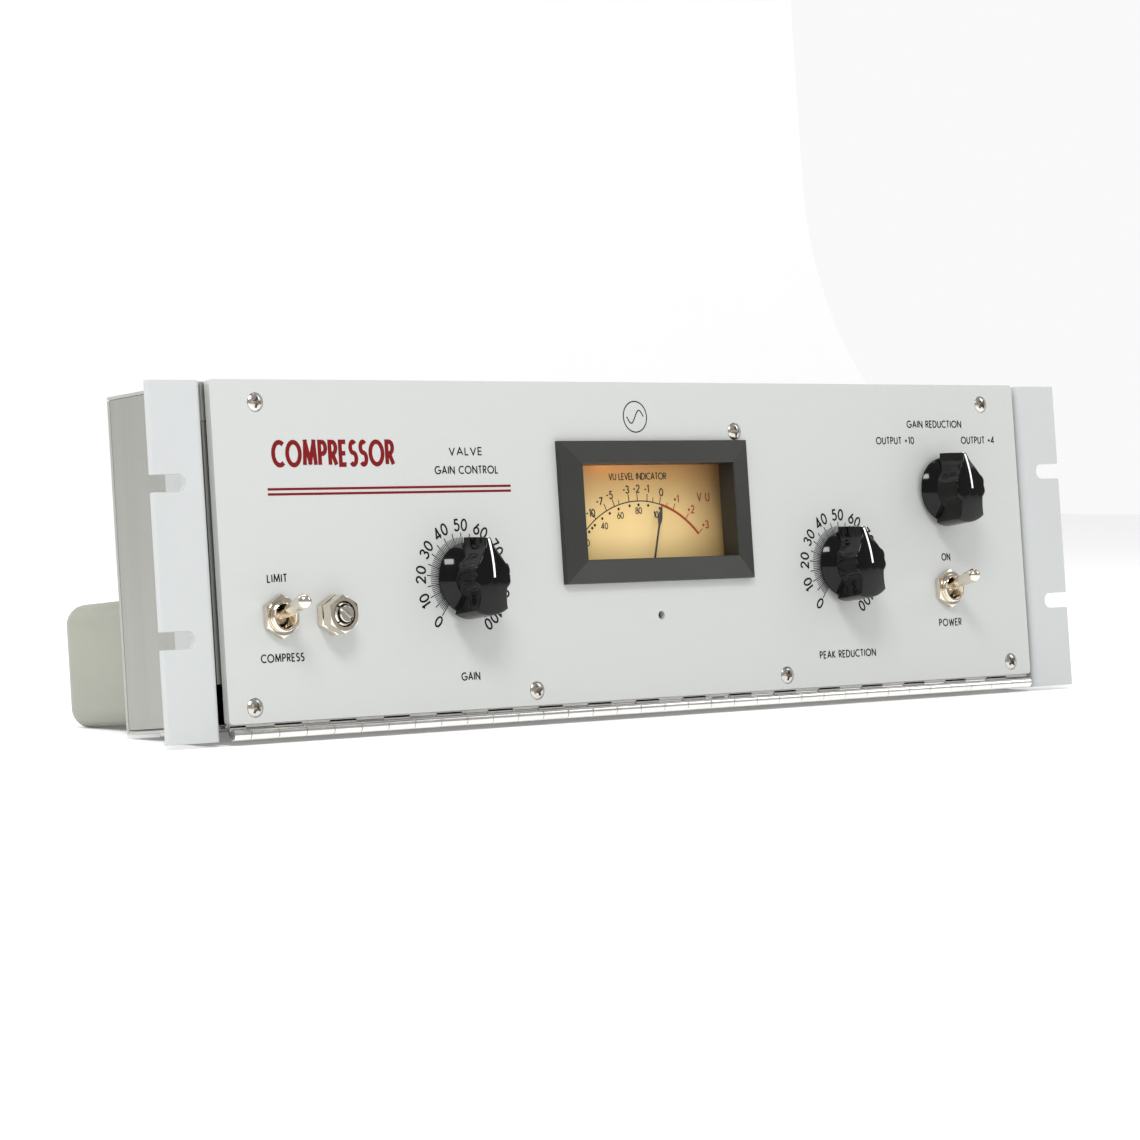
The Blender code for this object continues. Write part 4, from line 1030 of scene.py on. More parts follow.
def bushing_and_nut(name, centre, front):
    """The threaded bushing through the door and the nut that holds it, under the knob."""
    piece(f"{name}_bushing", thread_rings(centre, 4.6, front, 0.0), "nickel", "door")
    piece(f"{name}_nut", chamfered_hex(centre, 12.6, -0.05, -2.3, 4.65), "nickel", "door", smooth=20)


def pots():
    """Bodies behind the door: two potentiometers and the rotary switch."""
    for node, centre in (("gain_pot", GAIN), ("peak_pot", PEAK)):
        front, back = depths(node)
        x, z = centre
        can = turned([(0, back), (POT_RADIUS - 1.2, back), (POT_RADIUS, back - 0.8), (POT_RADIUS, 6.0),
                      (POT_RADIUS - 0.6, 5.2), (POT_RADIUS - 0.6, 3.7), (0, 3.7)], centre, 56)
        piece(f"{node}_can", can, "screw", "door", node, "zinc", smooth=25)
        tags = [slab(x + u - 1.1, x + u + 1.1, 7.0, 7.8, z + POT_RADIUS - 1.0, z + TAG_END)
                for u in (-5, 0, 5)]
        piece(f"{node}_tags", together(*tags), "gold", "door")
        bushing_and_nut(node, centre, front)
    front, back = depths("meter_switch")
    wafers = [disc(15.6, depth, depth + 1.6, SELECT, 48, 3) for depth in (12, 23)]
    piece("meter_switch_wafers", together(*wafers), "laminate", "door", "meter_switch", "zinc",
          smooth=25)
    plate = disc(13.5, 3.8, 5.4, SELECT, 48)
    hub = turned([(0, 5.4), (9.5, 5.4), (9.5, 9.5), (3.0, 9.5), (3.0, back), (0, back)], SELECT, 32)
    piece("meter_switch_frame", together(plate, hub), "screw", "door", smooth=25)
    bushing_and_nut("meter_switch", SELECT, front)
    contacts = []
    for depth in (12.2, 23.2):
        for k in range(12):
            x, z = ring_point(SELECT, 15.0, 30 * k + 15)
            contacts.append(slab(x - 0.7, x + 0.7, depth - 0.8, depth + 2.4, z - 0.9, z + 0.9))
    piece("meter_switch_contacts", together(*contacts), "gold", "door")


# ---------------------------------------------------------------- level meter

SCALE_CENTRE = (0.7, 42.8)
SCALE_RADIUS = 43.0
SCALE_START = -46.0
SCALE_END = 47.4
ZERO_MARK = 16.0
MARKS = (  # text, direction of its tick, and where the text stands
    ("-10", -33.1, -25.4, 81.3), ("-7", -24.0, -20.4, 85.9), ("-5", -17.9, -14.85, 88.4),
    ("-3", -6.9, -5.85, 90.5), ("-2", -0.9, -0.2, 90.8), ("-1", 6.0, 5.3, 90.6),
    ("0", 15.1, 13.2, 89.2), ("+1", 25.3, 21.1, 86.3), ("+2", 35.5, 28.95, 82.0),
    ("+3", SCALE_END, 36.4, 75.6),
)
DOTS = (-41.5, -38.4, -35.8, -29.0, -22.6, -15.5, -7.0, -0.3, 6.9, 15.7)
PERCENT = (("20", -28.6, 69.4), ("40", -18.4, 76.0), ("60", -9.6, 80.1), ("80", 0.35, 81.9),
           ("100", 10.6, 80.1))


def scale_point(radius, degrees):
    return ring_point(SCALE_CENTRE, radius, degrees)


def meter_scale():
    """The printed level scale above its arc and the percentage dots below it."""
    depth = DIAL_DEPTH
    black = bmesh.new()
    red = bmesh.new()
    stretches = ((black, SCALE_START, ZERO_MARK, 0.46), (red, ZERO_MARK, SCALE_END, 1.0))
    for target, start, end, width in stretches:
        curve = [scale_point(SCALE_RADIUS, start + (end - start) * k / 30) for k in range(31)]
        add_ribbon(target, curve, width, depth)
    for text, degrees, x, z in MARKS:
        target = red if text.startswith("+") else black
        add_ribbon(target, [scale_point(SCALE_RADIUS, degrees), scale_point(SCALE_RADIUS + 3.1, degrees)],
                   0.38, depth)
        add_text(target, text, (x, z), 2.9, 0.55, depth, tracking=0.22)
    for target, degrees in ((black, -14.2), (black, 10.1), (red, 20.2)):
        add_ribbon(target, [scale_point(SCALE_RADIUS, degrees), scale_point(SCALE_RADIUS + 1.9, degrees)],
                   0.34, depth)
    for degrees in DOTS:
        x, z = scale_point(SCALE_RADIUS - 1.6, degrees)
        add_ribbon(black, arc(x, z, 0.3, 0, 360, 8)[:-1], 0.6, depth, closed=True)
    for text, x, z in PERCENT:
        add_text(black, text, (x, z), 2.4, 0.44, depth, tracking=0.2)
    add_text(red, "V U", (36.2, 87.0), 3.3, 0.56, depth, tracking=0.3, fit=6.4)
    add_text(black, "VU LEVEL INDICATOR", (1.0, 95.8), 2.5, 0.42, depth, tracking=0.22, fit=30.8)
    piece("meter_scale_black", black, "scale_black", "door")
    piece("meter_scale_red", red, "scale_red", "door")


WINDOW_WIDTH = 40.5  # half the bezel's opening
WINDOW_HEIGHT = 19.0


def meter_frame():
    """The mitred bezel, its lining, the card with its painted lamp light and shade, the glass and the edge
    above with its painted lamp glow.
    """
    (x0, x1), (front, back), (z0, z1) = span("meter_bezel")
    half_width, half_height = (x1 - x0) / 2, (z1 - z0) / 2
    cx, cz = METER
    inner = [(0, back), (0, front + 0.55), (0.12, front + 0.14), (0.5, front)]
    outer = [(0.45, -2.55), (0.1, -2.38), (0, -2.05), (0, -0.05)]
    rear = [(1.6, -0.05), (1.6, back)]
    rings = [(WINDOW_WIDTH + out, WINDOW_HEIGHT + out, depth) for out, depth in inner]
    rings += [(half_width - inset, half_height - inset, depth) for inset, depth in outer]
    rings += [(WINDOW_WIDTH + out, WINDOW_HEIGHT + out, depth) for out, depth in rear]
    loops = [[at(x, depth, z) for x, z in rectangle(cx - w, cx + w, cz - h, cz + h)]
             for w, h, depth in rings]
    mesh = lofted([*loops, loops[0]], caps=False)
    bmesh.ops.remove_doubles(mesh, verts=mesh.verts, dist=1e-7)
    piece("bezel_frame", mesh, "bezel", "door", "meter_bezel", "dark_plastic", smooth=4)

    lining = slab(cx - 50, cx + 50, back + 0.1, 36, 32, 106)
    hollow = slab(cx - 47.5, cx + 47.5, back - 1, DIAL_DEPTH - 0.02, 52, cz + 22.5)
    behind = slab(cx - 49, cx + 49, DIAL_DEPTH - 0.03, 35, 33, 105)
    tub = cut(lining, hollow, behind)
    bevel(piece("meter_lining", tub, "lining", "door"), 0.2, 1)

    card = slab(cx - 47, cx + 47, DIAL_DEPTH, DIAL_DEPTH + 0.5, 50, cz + 22)
    piece("dial_face", card, "dial", "door", "meter_dial", "dial_card")
    # painted glow: a strip that stands in for the lamp's light on the housing's top inner edge
    glow = slab(cx - 44, cx + 44, 5.4, DIAL_DEPTH - 0.3, cz + 20.4, cz + 21.6)
    piece("lamp_painted_glow_edge", glow, "lamp", "door")

    (x0, x1), (d0, d1), (z0, z1) = span("meter_glass")
    pane = slab(x0 + 0.2, x1 - 0.2, d0 + 0.1, d1 - 0.2, z0 + 0.2, z1 - 0.2)
    piece("meter_pane", pane, "glass", "door", "meter_glass", "clear_glass")


NEEDLE_TILT = 14.8  # degrees clockwise
NEEDLE_DEPTH = 8.1


def meter_pointer():
    """The needle with its spade, at its rest angle."""
    cos, sin = math.cos(math.radians(NEEDLE_TILT)), math.sin(math.radians(NEEDLE_TILT))
    front = depths("meter_needle")[0]
    side = [(0.42, 0), (0.34, 35.6), (0.7, 36.6), (1.05, 38.2), (0.85, 40.2), (0.16, 43.6)]
    outline = [*side, *[(-x, z) for x, z in reversed(side)]]
    leaning = [(NEEDLE[0] + x * cos + z * sin, NEEDLE[1] - x * sin + z * cos) for x, z in outline]
    blade = extrude(leaning, NEEDLE_DEPTH - 0.2, NEEDLE_DEPTH + 0.2)
    hub = turned([(0, front), (2.3, front), (2.6, front + 0.4), (2.6, 22), (0, 22)], NEEDLE, 32)
    piece("needle_blade", together(blade, hub), "black_plastic", "needle", "meter_needle",
          "dark_plastic", smooth=25)


# ---------------------------------------------------------------- hinge

HINGE_PITCH = 12.7
FIRST_JOINT = -206.0
KNUCKLES = 33  # whole ones, after the short one at the left end
KNUCKLE_RADIUS = 2.12
KNUCKLE_GAP = 0.12


def hinge():
    """Both leaves with their rolled knuckles, and the pin."""
    x_low, x_high = span("hinge_door_leaf")[0]
    pin_depth = sum(span("hinge_pin")[1]) / 2
    pin_height = sum(span("hinge_pin")[2]) / 2
    edges = [(x_low, FIRST_JOINT)]
    edges += [(FIRST_JOINT + k * HINGE_PITCH, FIRST_JOINT + (k + 1) * HINGE_PITCH)
              for k in range(KNUCKLES)]
    top = pin_height + 2.1
    for fixed, node, body in ((False, "hinge_door_leaf", "door"), (True, "hinge_fixed_leaf", "case")):
        _, (_, leaf_back), (_, leaf_high) = span(node)
        parts = []
        for k, (start, end) in enumerate(edges):
            if (k % 2 == 1) != fixed:
                continue
            start, end = start + KNUCKLE_GAP, min(end, x_high) - KNUCKLE_GAP
            ring = arc(pin_depth, pin_height, KNUCKLE_RADIUS, 0, 360, 28)[:-1]
            eased = arc(pin_depth, pin_height, KNUCKLE_RADIUS - 0.22, 0, 360, 28)[:-1]
            loops = [[at(x, d, z) for d, z in points] for x, points in (
                (start, eased), (start + 0.2, ring), (end - 0.2, ring), (end, eased))]
            parts.append(lofted(loops))
            if fixed:
                parts.append(slab(start, end, pin_depth, 3.0, top - 0.8, top))
            else:
                parts.append(slab(start, end, 1.55, 2.35, pin_height, 5.5))
        if fixed:
            parts.append(slab(x_low, x_high, 2.85, leaf_back, top - 0.8, top))
        else:
            step = [(1.55, 4.8), (4.3, 4.8), (4.3, leaf_high), (3.5, leaf_high), (3.5, 5.7), (1.55, 5.7)]
            parts.append(extrude(step, x_low, x_high, along_x))
        piece(f"{node}_rolled", together(*parts), "hinge", body, node, "nickel", smooth=30)
    pin = arc(pin_depth, pin_height, 0.95, 0, 360, 20)[:-1]
    piece("hinge_pin_rod", extrude(pin, x_low + 0.05, x_high - 0.05, along_x), "screw", "case",
          "hinge_pin", "zinc")


# ---------------------------------------------------------------- case and door


def smooth_cad():
    """CAD nodes whose shape is right keep it and get a finish."""
    kept = {
        "door_panel": "panel",
        "rear_panel": "rear",
        "meter_housing": "black_plastic",
        "meter_zero_screw": "black_plastic",
        "input_latch": "screw",
        "component_board": "laminate",
    }
    for node, finish in kept.items():
        slots = frame["nodes"][node].data.materials
        for k in range(len(slots)):
            slots[k] = FINISH[finish]


EAR_PLATE = 3.2
EAR_BEND = 3.4
SLOT_SPACING = 57.15
SLOT_RADIUS = 3.25
SLOT_START = 227.1


def ear(side, label):
    """A bent angle bracket with open slots and eased edges."""
    node = f"rack_ear_{label}"
    (x0, x1), (_, back), (z0, z1) = span(node)
    inner = min(abs(x0), abs(x1))
    outer = max(abs(x0), abs(x1))
    section = [
        (inner, back), *arc(inner + EAR_BEND, EAR_BEND, EAR_BEND, 180, 270, 10), (outer, 0),
        (outer, EAR_PLATE), *arc(inner + EAR_PLATE + 0.6, EAR_PLATE + 0.6, 0.6, 270, 180, 3),
        (inner + EAR_PLATE, back),
    ]
    bracket = extrude([(side * x, d) for x, d in section], z0, z1, along_z)
    slots = []
    for level in (z1 / 2 - SLOT_SPACING / 2, z1 / 2 + SLOT_SPACING / 2):
        slot_end = arc(SLOT_START + SLOT_RADIUS, level, SLOT_RADIUS, 270, 90, 20)
        outline = [(outer + 1, level - SLOT_RADIUS), *slot_end, (outer + 1, level + SLOT_RADIUS)]
        slots.append(extrude([(side * x, z) for x, z in outline], -1, EAR_PLATE + 1))
    made = piece(f"{node}_bracket", cut(bracket, *slots), "ear", "case", node, "panel_paint",
                 smooth=25)
    bevel(made, 0.35, 2)


SHEET = 1.6
COVER_SHEET = 1.2
WALL_FRONT = 4.0
WALL_NOTCH = (16.0, 21.0)  # depth and height of the notch in its lower front corner


def case_sheets():
    """Side walls, lid and floor with softened bends."""
    (x0, _), (_, d1), (z0, z1) = span("side_panel_left")
    outer = abs(x0)
    notch, step = WALL_NOTCH
    lip_top = span("top_cover")[2][0] - 0.2
    for side, label in ((-1, "left"), (1, "right")):
        outline = [(WALL_FRONT, step), (notch, step), (notch, z0), (d1 + 0.25, z0),
                   (d1 + 0.25, z1 + 0.2), (WALL_FRONT, z1 + 0.2)]
        wall = extrude(outline, side * (outer - SHEET), side * outer, along_x)
        lip = slab(side * (outer - 9), side * (outer - 0.8), WALL_FRONT, 5.6, step, lip_top)
        made = piece(f"side_{label}_wall", together(wall, lip), "side", "case",
                     f"side_panel_{label}", "brushed_metal", smooth=25)
        bevel(made, 0.2, 1)
    (x0, x1), (d0, d1), (z0, z1) = span("top_cover")
    under = z1 - COVER_SHEET
    section = [(d0, z0), (d0 + SHEET, z0), (d0 + SHEET, under), (d1, under), (d1, z1 - 0.3),
               (d1 - 0.4, z1), *arc(d0 + COVER_SHEET, under, COVER_SHEET, 90, 180, 5)]
    lid = extrude(section, x0, x1, along_x)
    corners = [slab(side * (outer - 1.65), side * (outer + 1), d0 - 1, d0 + 2.6, z0 - 1, 131.15)
               for side in (-1, 1)]
    holes = [disc(2.9, d0 - 1, d0 + 2.6, middle(node), 32)
             for node in ("closing_screw_left", "closing_screw_right")]
    made = piece("lid_sheet", cut(lid, *corners, *holes), "cover", "case", "top_cover",
                 "brushed_metal", smooth=25)
    bevel(made, 0.2, 2)
    (x0, x1), (d0, d1), (z0, z1) = span("bottom_cover")
    base = piece("floor_sheet", slab(x0, x1, d0, d1, z0, z1), "cover", "case", "bottom_cover",
                 "brushed_metal")
    bevel(base, 0.3, 2)
    heads = []
    for x in (-211, -70, 70, 211):
        heads.append(lofted([[at(u, d, z) for u, d in arc(x, 46, radius, 0, 360, 24)[:-1]]
                             for radius, z in ((1.6, 2.8), (2.4, 3.1), (2.7, 3.7), (2.7, z0))]))
    piece("floor_sheet_screws", together(*heads), "screw", "case")


# ---------------------------------------------------------------- rear of the case


def can(node, radius):
    """A drawn can with rounded edges."""
    (x0, x1), (d0, d1), (z0, z1) = span(node)
    loops = []
    for inset, depth in [(0, d0)] + [
        (radius * (1 - math.sin(math.radians(a))), d1 - radius * (1 - math.cos(math.radians(a))))
        for a in range(90, -1, -15)
    ]:
        edge = max(radius - inset, 0.4)
        loops.append([at(x, depth, z) for x, z in
                      rounded(x0 + inset, x1 - inset, z0 + inset, z1 - inset, edge, 8)])
    piece(f"{node}_can", lofted(loops), "can", "case", node, "can_paint", smooth=40)


VALVE_RADIUS = 10.1


def valve(node, shielded):
    """A glass valve in its socket: envelope, electrodes, mica, getter and pins."""
    x, z = centre = middle(node)
    end = depths(node)[1]
    shell = [(0, REAR + 7.5), (VALVE_RADIUS - 1.5, REAR + 7.5), (VALVE_RADIUS, REAR + 9.5),
             (VALVE_RADIUS, end - 8.5)]
    shell += [(VALVE_RADIUS * math.cos(math.radians(a)), end - 8.5 + 6.0 * math.sin(math.radians(a)))
              for a in range(10, 76, 8)]
    shell += [(2.0, end - 2.5), (1.4, end - 1.2), (0.7, end - 0.2), (0, end)]
    piece(f"{node}_envelope", turned(shell, centre, 48), "valve_glass", "case", node, "clear_glass",
          smooth=50)
    plate_end = end - 14
    plates = [extrude(rounded(x - 4.6, x + 4.6, z - 6.4, z + 6.4, 2.0, 4), REAR + 14, plate_end)]
    for u in (-3.0, 3.0):
        plates.append(slab(x + u - 0.4, x + u + 0.4, REAR + 14, plate_end, z - 7.6, z + 7.6))
    piece(f"{node}_plates", together(*plates), "electrode", "case", smooth=30)
    mica = together(*[disc(8.6, depth, depth + 0.4, centre, 24)
                      for depth in (REAR + 13, plate_end + 0.6)])
    piece(f"{node}_mica", mica, "ceramic", "case")
    ring = [at(x + 4 * math.cos(a), plate_end + 3.2, z + 4 * math.sin(a))
            for a in (2 * math.pi * k / 24 for k in range(25))]
    piece(f"{node}_getter", tube(ring, 0.55, 8), "getter", "case")
    pins = [disc(0.5, REAR + 3, REAR + 12, ring_point(centre, 6.0, 40 * k + 20), 8) for k in range(8)]
    piece(f"{node}_pins", together(*pins), "screw", "case")
    socket = turned([
        (0, REAR + 0.1), (12.6, REAR + 0.1), (13, REAR + 0.5), (13, REAR + 1.6), (11.2, REAR + 1.9),
        (10.9, REAR + 6.6), (10.4, REAR + 7.0), (0, REAR + 7.0),
    ], centre, 56)
    piece(f"{node}_socket", socket, "black_plastic", "case", smooth=25)
    if shielded:
        shield = turned([(10.5, REAR + 7.1), (11.3, REAR + 7.1), (11.3, end), (9.0, end),
                         (9.0, end - 0.8), (10.5, end - 0.8)], centre, 48)
        piece(f"{node}_shield", shield, "aluminium", "case", smooth=25)


def gain_cell():
    """The plug-in optical cell in its octal socket."""
    centre = middle("optical_cell")
    start, end = depths("optical_cell")
    shell = turned([
        (0, start), (16.2, start), (16.2, start + 6.5), (15.9, start + 7.2), (15.2, start + 8.0),
        (15.2, start + 9.0), (15.05, start + 9.3), (15.05, start + 10.0), (15.2, start + 10.3),
        (15.2, end - 2.2), (14.9, end - 1.0), (14.0, end - 0.2), (12.9, end), (12.4, end - 0.5),
        (0, end - 0.5),
    ], centre, 72)
    piece("optical_cell_can", shell, "aluminium", "case", "optical_cell", "aluminium", smooth=30)
    low, top = depths("optical_cell_socket")
    socket = turned([
        (0, low), (14.6, low), (14.6, REAR + 0.1), (18.6, REAR + 0.1), (19, REAR + 0.5), (19, REAR + 1.6),
        (16.4, REAR + 1.9), (16.0, top - 0.4), (15.6, top), (0, top),
    ], centre, 64)
    piece("optical_cell_base", socket, "bakelite", "case", "optical_cell_socket", "black_bakelite",
          smooth=25)


def capacitor():
    """The filter capacitor's can, with a rim at its foot and a groove above it."""
    centre = middle("filter_capacitor")
    start, end = depths("filter_capacitor")
    shell = turned([
        (0, start), (17.0, start), (17.0, start + 1.6), (16.4, start + 2.2), (16.4, start + 6),
        (16.0, start + 6.6), (16.0, start + 7.6), (16.4, start + 8.2), (16.4, end - 1.6), (15.9, end - 0.4),
        (15.0, end), (14.6, end - 0.7), (0, end - 0.7),
    ], centre, 64)
    piece("filter_capacitor_can", shell, "aluminium", "case", "filter_capacitor", "aluminium",
          smooth=30)


CUT_END = 80  # a depth clear of every connector's face


def signal_connectors():
    """Input socket with its contacts, and output plug with its pins."""
    for node, label in (("input_connector", "input"), ("output_connector", "output")):
        x, z = centre = middle(node)
        start, end = depths(node)
        contacts = [(x + 4.2 * math.cos(math.radians(a)), z + 4.2 * math.sin(math.radians(a)))
                    for a in (30, 150, 270)]
        flange = extrude(rounded(x - 13, x + 13, z - 15.5, z + 15.5, 2.6, 6), REAR + 0.1, REAR + 2.4)
        shell = turned([(0, start), (11.9, start), (11.9, end - 0.5), (11.4, end), (0, end)], centre, 56)
        if label == "input":
            holes = [disc(1.5, 52, CUT_END, place, 20) for place in contacts]
            key = slab(x - 2.7, x + 2.7, 56, CUT_END, z + 9.7, z + 11.2)
            shell = cut(shell, disc(9.1, 50, CUT_END, centre, 48, 7.4), together(*holes), key)
            flange = cut(flange, disc(9.5, 60, CUT_END, centre, 48),
                         slab(x - 2.7, x + 2.7, 56, CUT_END, z + 9.0, z + 11.2))
        else:
            shell = cut(shell, disc(9.2, 52, CUT_END, centre, 48))
            flange = cut(flange, disc(9.4, 60, CUT_END, centre, 48))
            pins = [turned([(0, 51.5), (1.2, 51.5), (1.2, 63.5), (0.7, 64.3), (0, 64.3)], place, 20)
                    for place in contacts]
            piece("output_pins", together(*pins), "gold", "case")
        piece(f"{label}_flange", flange, "screw", "case", node, "zinc", smooth=25)
        piece(f"{label}_barrel", shell, "black_plastic" if label == "input" else "screw", "case",
              smooth=25)
        for u, v in ((-9.6, 12.2), (9.6, -12.2)):
            pan_screw(f"{label}_screw_{'a' if u < 0 else 'b'}", (x + u, z + v), REAR + 2.4, 2.3)


def pan_screw(name, centre, depth, radius):
    """A small cross-head screw that faces backwards."""
    head = turned([(0, depth), (radius, depth), (radius, depth + 0.7), (radius * 0.8, depth + 1.3),
                   (radius * 0.4, depth + 1.55), (0, depth + 1.6)], centre, 28)
    x, z = centre
    arm = radius * 0.55
    cross = slab(x - arm, x + arm, depth + 0.7, depth + 3, z - 0.25, z + 0.25)
    other = slab(x - 0.25, x + 0.25, depth + 0.7, depth + 3, z - arm, z + arm)
    piece(name, cut(head, cross, other), "screw", "case", smooth=30)


def mains_and_fuse():
    """The mains inlet with its blades, and the fuse holder with its slotted cap."""
    x, z = middle("mains_inlet")
    flange = extrude(rounded(x - 25, x + 25, z - 12, z + 12, 5, 8), REAR + 0.1, REAR + 2.6)
    body = slab(x - 14, x + 14, 42, REAR + 1, z - 10, z + 10)
    well = [(x - 12, z - 8), (x + 12, z - 8), (x + 12, z + 4), (x + 8, z + 8), (x - 8, z + 8),
            (x - 12, z + 4)]
    shell = boolean(flange, body, "UNION")
    made = piece("mains_inlet_shell", cut(shell, extrude(well, 48, CUT_END)), "black_plastic", "case",
                 "mains_inlet", "black_bakelite", smooth=25)
    bevel(made, 0.4, 2)
    blades = [slab(x + u - 1, x + u + 1, 47, 63, z + v - 2.5, z + v + 2.5)
              for u, v in ((-7, -1), (7, -1), (0, 2.5))]
    piece("mains_blades", together(*blades), "screw", "case")
    for k, u in enumerate((-20, 20)):
        pan_screw(f"mains_screw_{k + 1}", (x + u, z), REAR + 2.6, 2.6)

    cx, cz = centre = middle("fuse_holder")
    low, high = depths("fuse_holder")
    holder = turned([(4.6, low), (6.4, low), (6.4, REAR), (8.2, REAR), (8.6, REAR + 0.4), (8.6, high - 0.4),
                     (8.2, high), (4.6, high)], centre, 48)
    piece("fuse_holder_body", holder, "bakelite", "case", "fuse_holder", "black_bakelite", smooth=25)
    end = depths("fuse_cap")[1]
    start = high + 0.3
    cap = turned([(0, 48), (3.6, 48), (3.6, start), (6.9, start), (7.2, start + 0.3), (7.2, end - 1.6),
                  (6.6, end - 0.5), (5.6, end), (0, end)], centre, 48)
    slot_tool = slab(cx - 8, cx + 8, end - 1.4, end + 2, cz - 0.8, cz + 0.8)
    piece("fuse_cap_knob", cut(cap, slot_tool), "bakelite", "fuse_carrier", "fuse_cap",
          "black_bakelite", smooth=25)


BOARD_PARTS = {"tan_body": (1.9, 11.0), "orange_body": (3.6, 20.0), "blue_body": (2.6, 15.0)}
TURRET = ((0, 3.4), (1.0, 3.4), (1.0, 2.9), (0.7, 2.8), (0.7, 1.2), (1.4, 1.0), (1.4, 0), (0, 0))


def board_parts():
    """Soldered parts on the board inside: resistors, capacitors and turret pins."""
    (x0, _), (front, _), (z0, _) = span("component_board")
    finishes = list(BOARD_PARTS)
    bodies = {kind: [] for kind in finishes}
    turrets, leads = [], []
    for column in range(14):
        x = x0 + 12 + column * 12.8
        for row, (low, high) in enumerate(((z0 + 8, z0 + 40), (z0 + 56, z0 + 88))):
            kind = finishes[(column * 2 + row * 5 + column // 3) % 3]
            radius, length = BOARD_PARTS[kind]
            centre = (low + high) / 2
            depth = front - radius - 0.6
            ends = (centre - length / 2, centre + length / 2)
            path = [at(x, depth, z) for z in (ends[0], ends[0] + 0.8, ends[1] - 0.8, ends[1])]
            bodies[kind].append(tube(path, radius, 20))
            leads.append(tube([at(x, front - 1.2, low), at(x, depth, low + 2), at(x, depth, high - 2),
                               at(x, front - 1.2, high)], 0.35, 8))
            for z in (low, high):
                turrets.append(turned([(radius, front - out) for radius, out in TURRET], (x, z), 14))
    for kind, shapes in bodies.items():
        piece(f"board_{kind}", together(*shapes), kind, "case", smooth=30)
    piece("board_turrets", together(*turrets), "gold", "case", smooth=30)
    piece("board_leads", together(*leads), "screw", "case", smooth=40)


# ---------------------------------------------------------------- stage


FLOOR_REACH = 4500
FLOOR_CURVE = 700
BACKDROP_TOP = 2600
FLOOR_GAP = 0.05
LIGHTS = (  # name, place, size and power
    ("key", (-0.82, -1.05, 1.32), (0.62, 0.42), 18),
    ("top", (0.1, 0.25, 1.9), (1.8, 1.0), 11),
    ("fill", (1.5, -0.9, 1.0), (0.6, 0.9), 4),
    ("backdrop_left", (-1.6, 1.0, 1.4), (1.0, 1.0), 10),
)


def stage():
    """A pale seamless floor, leaning as the unit rests, and soft light."""
    floor_material = Finish("floor_finish", (0.93, 0.93, 0.93), 0.5)
    shades = [(0.3, (0.925, 0.925, 0.925)), (0.7, (0.935, 0.935, 0.935))]
    floor_material.colour(floor_material.noise(3, 2), shades)
    floor_material.set("Emission Color", (1, 1, 1, 1))
    floor_material.set("Emission Strength", 0.12)
    tilt = math.tan(math.radians(LEAN))
    mesh = bmesh.new()
    bend = FLOOR_REACH - FLOOR_CURVE
    profile = [(-FLOOR_REACH, 0.0), (bend, 0.0)]
    profile += [(bend + FLOOR_CURVE * math.sin(math.radians(a)),
                 FLOOR_CURVE * (1 - math.cos(math.radians(a)))) for a in range(6, 91, 6)]
    profile += [(FLOOR_REACH, BACKDROP_TOP)]
    rows = []
    for depth, height in profile:
        level = height + (depth - REST_DEPTH) * tilt - FLOOR_GAP
        rows.append([mesh.verts.new(at(x, depth, level)) for x in (-FLOOR_REACH, FLOOR_REACH)])
    for near, far in zip(rows, rows[1:]):
        mesh.faces.new((near[0], near[1], far[1], far[0]))
    data = bpy.data.meshes.new("floor")
    mesh.to_mesh(data)
    mesh.free()
    data.materials.append(floor_material.material)
    data.shade_smooth()
    floor = bpy.data.objects.new("floor", data)
    bpy.context.scene.collection.objects.link(floor)

    world = bpy.data.worlds.new("studio")
    world.use_nodes = True
    nodes, links = world.node_tree.nodes, world.node_tree.links
    background = nodes["Background"]
    background.inputs["Color"].default_value = (1, 1, 1, 1)
    rays = nodes.new("ShaderNodeLightPath")
    dim = nodes.new("ShaderNodeMapRange")  # a darker room in glossy reflections
    dim.inputs["To Min"].default_value = 0.95
    dim.inputs["To Max"].default_value = 0.34
    links.new(rays.outputs["Is Glossy Ray"], dim.inputs["Value"])
    links.new(dim.outputs["Result"], background.inputs["Strength"])
    bpy.context.scene.world = world
    bpy.context.scene.view_settings.view_transform = "Standard"

    for name, place, size, power in LIGHTS:
        lamp = bpy.data.lights.new(name, "AREA")
        lamp.shape = "RECTANGLE"
        lamp.size, lamp.size_y = size
        lamp.energy = power
        holder = bpy.data.objects.new(name, lamp)
        bpy.context.scene.collection.objects.link(holder)
        holder.location = place
        aim = Vector((0, 0, 0.06)) - Vector(place)
        holder.rotation_mode = "QUATERNION"
        holder.rotation_quaternion = aim.to_track_quat("-Z", "Y")


CAMERA_TURN = (-40.457, -1.967, -3.655)  # azimuth, elevation and roll in degrees
CAMERA_PLACE = (-1006.30, -1125.07, 7.55)  # x, depth and height in millimetres
FOCAL_LENGTH = 3752.3  # in points of a square picture PICTURE_WIDTH points wide
PICTURE_WIDTH = 1140
SENSOR_WIDTH = 36


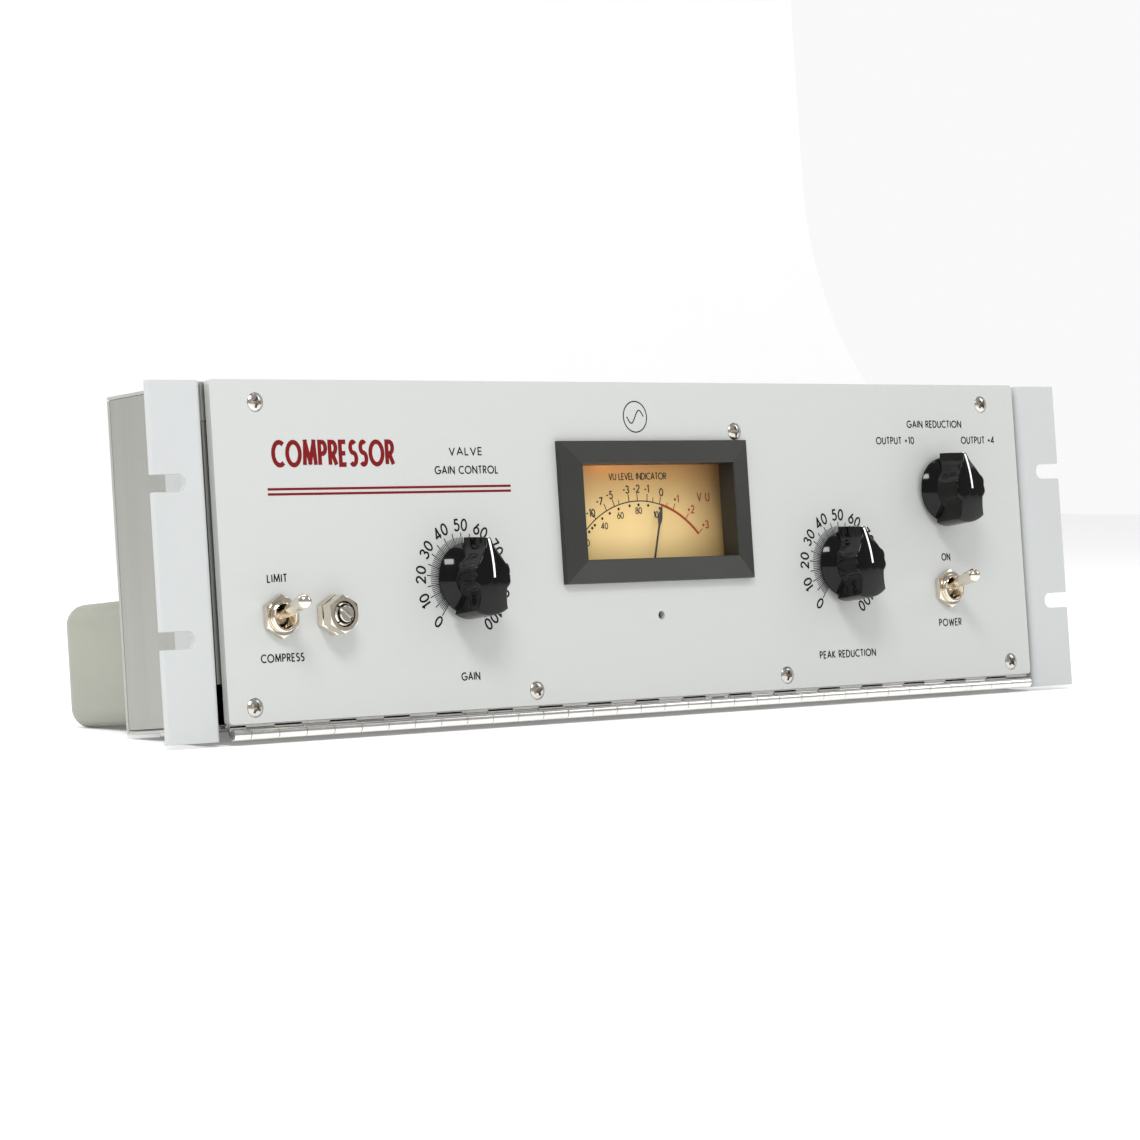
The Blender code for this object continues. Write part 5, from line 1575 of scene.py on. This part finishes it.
def camera():
    """The camera, looking at the unit from the left and a little from below."""
    azimuth, elevation, roll = (math.radians(a) for a in CAMERA_TURN)
    forward = Vector((-math.sin(azimuth) * math.cos(elevation), math.cos(azimuth) * math.cos(elevation),
                      -math.sin(elevation)))
    right = forward.cross(Vector((0, 0, 1))).normalized()
    up = right.cross(forward)
    right_rolled = math.cos(roll) * right + math.sin(roll) * up
    up_rolled = -math.sin(roll) * right + math.cos(roll) * up
    lens = bpy.data.cameras.new("camera")
    lens.sensor_width = SENSOR_WIDTH
    lens.lens = SENSOR_WIDTH * FOCAL_LENGTH / PICTURE_WIDTH
    lens.clip_start = 0.05
    lens.clip_end = 60
    holder = bpy.data.objects.new("camera", lens)
    bpy.context.scene.collection.objects.link(holder)
    basis = Matrix((right_rolled, up_rolled, -forward)).transposed()
    holder.matrix_world = Matrix.Translation(at(*CAMERA_PLACE)) @ basis.to_4x4()
    bpy.context.scene.camera = holder


# ---------------------------------------------------------------- build


def main():
    smooth_cad()
    for side, label in ((-1, "left"), (1, "right")):
        ear(side, label)
    case_sheets()
    hinge()
    printed_labels()
    printed_scale("gain_scale", GAIN)
    printed_scale("peak_scale", PEAK)
    printed_title()
    knob("gain_knob", "gain_shaft", "gain_control", GAIN)
    knob("peak_knob", "peak_shaft", "peak_control", PEAK, -7)
    knob("meter_knob", "meter_shaft", "meter_selector", SELECT, -4)
    toggle("limit", LIMIT, "limit_toggle")
    toggle("power", POWER, "power_toggle")
    preset()
    pots()
    for k, node in enumerate(("closing_screw_left", "closing_screw_right", "lamp_screw", "hinge_screw_1",
                              "hinge_screw_2", "hinge_screw_3", "hinge_screw_4")):
        oval_screw(node, (10 + 37 * k) % 90)
    meter_frame()
    meter_scale()
    meter_pointer()
    can("power_transformer", 8)
    can("output_transformer", 5)
    can("input_transformer", 5)
    for node in ("tube_1", "tube_2", "tube_3", "tube_4"):
        valve(node, node == "tube_3")
    gain_cell()
    capacitor()
    signal_connectors()
    mains_and_fuse()
    board_parts()
    stage()
    camera()


main()
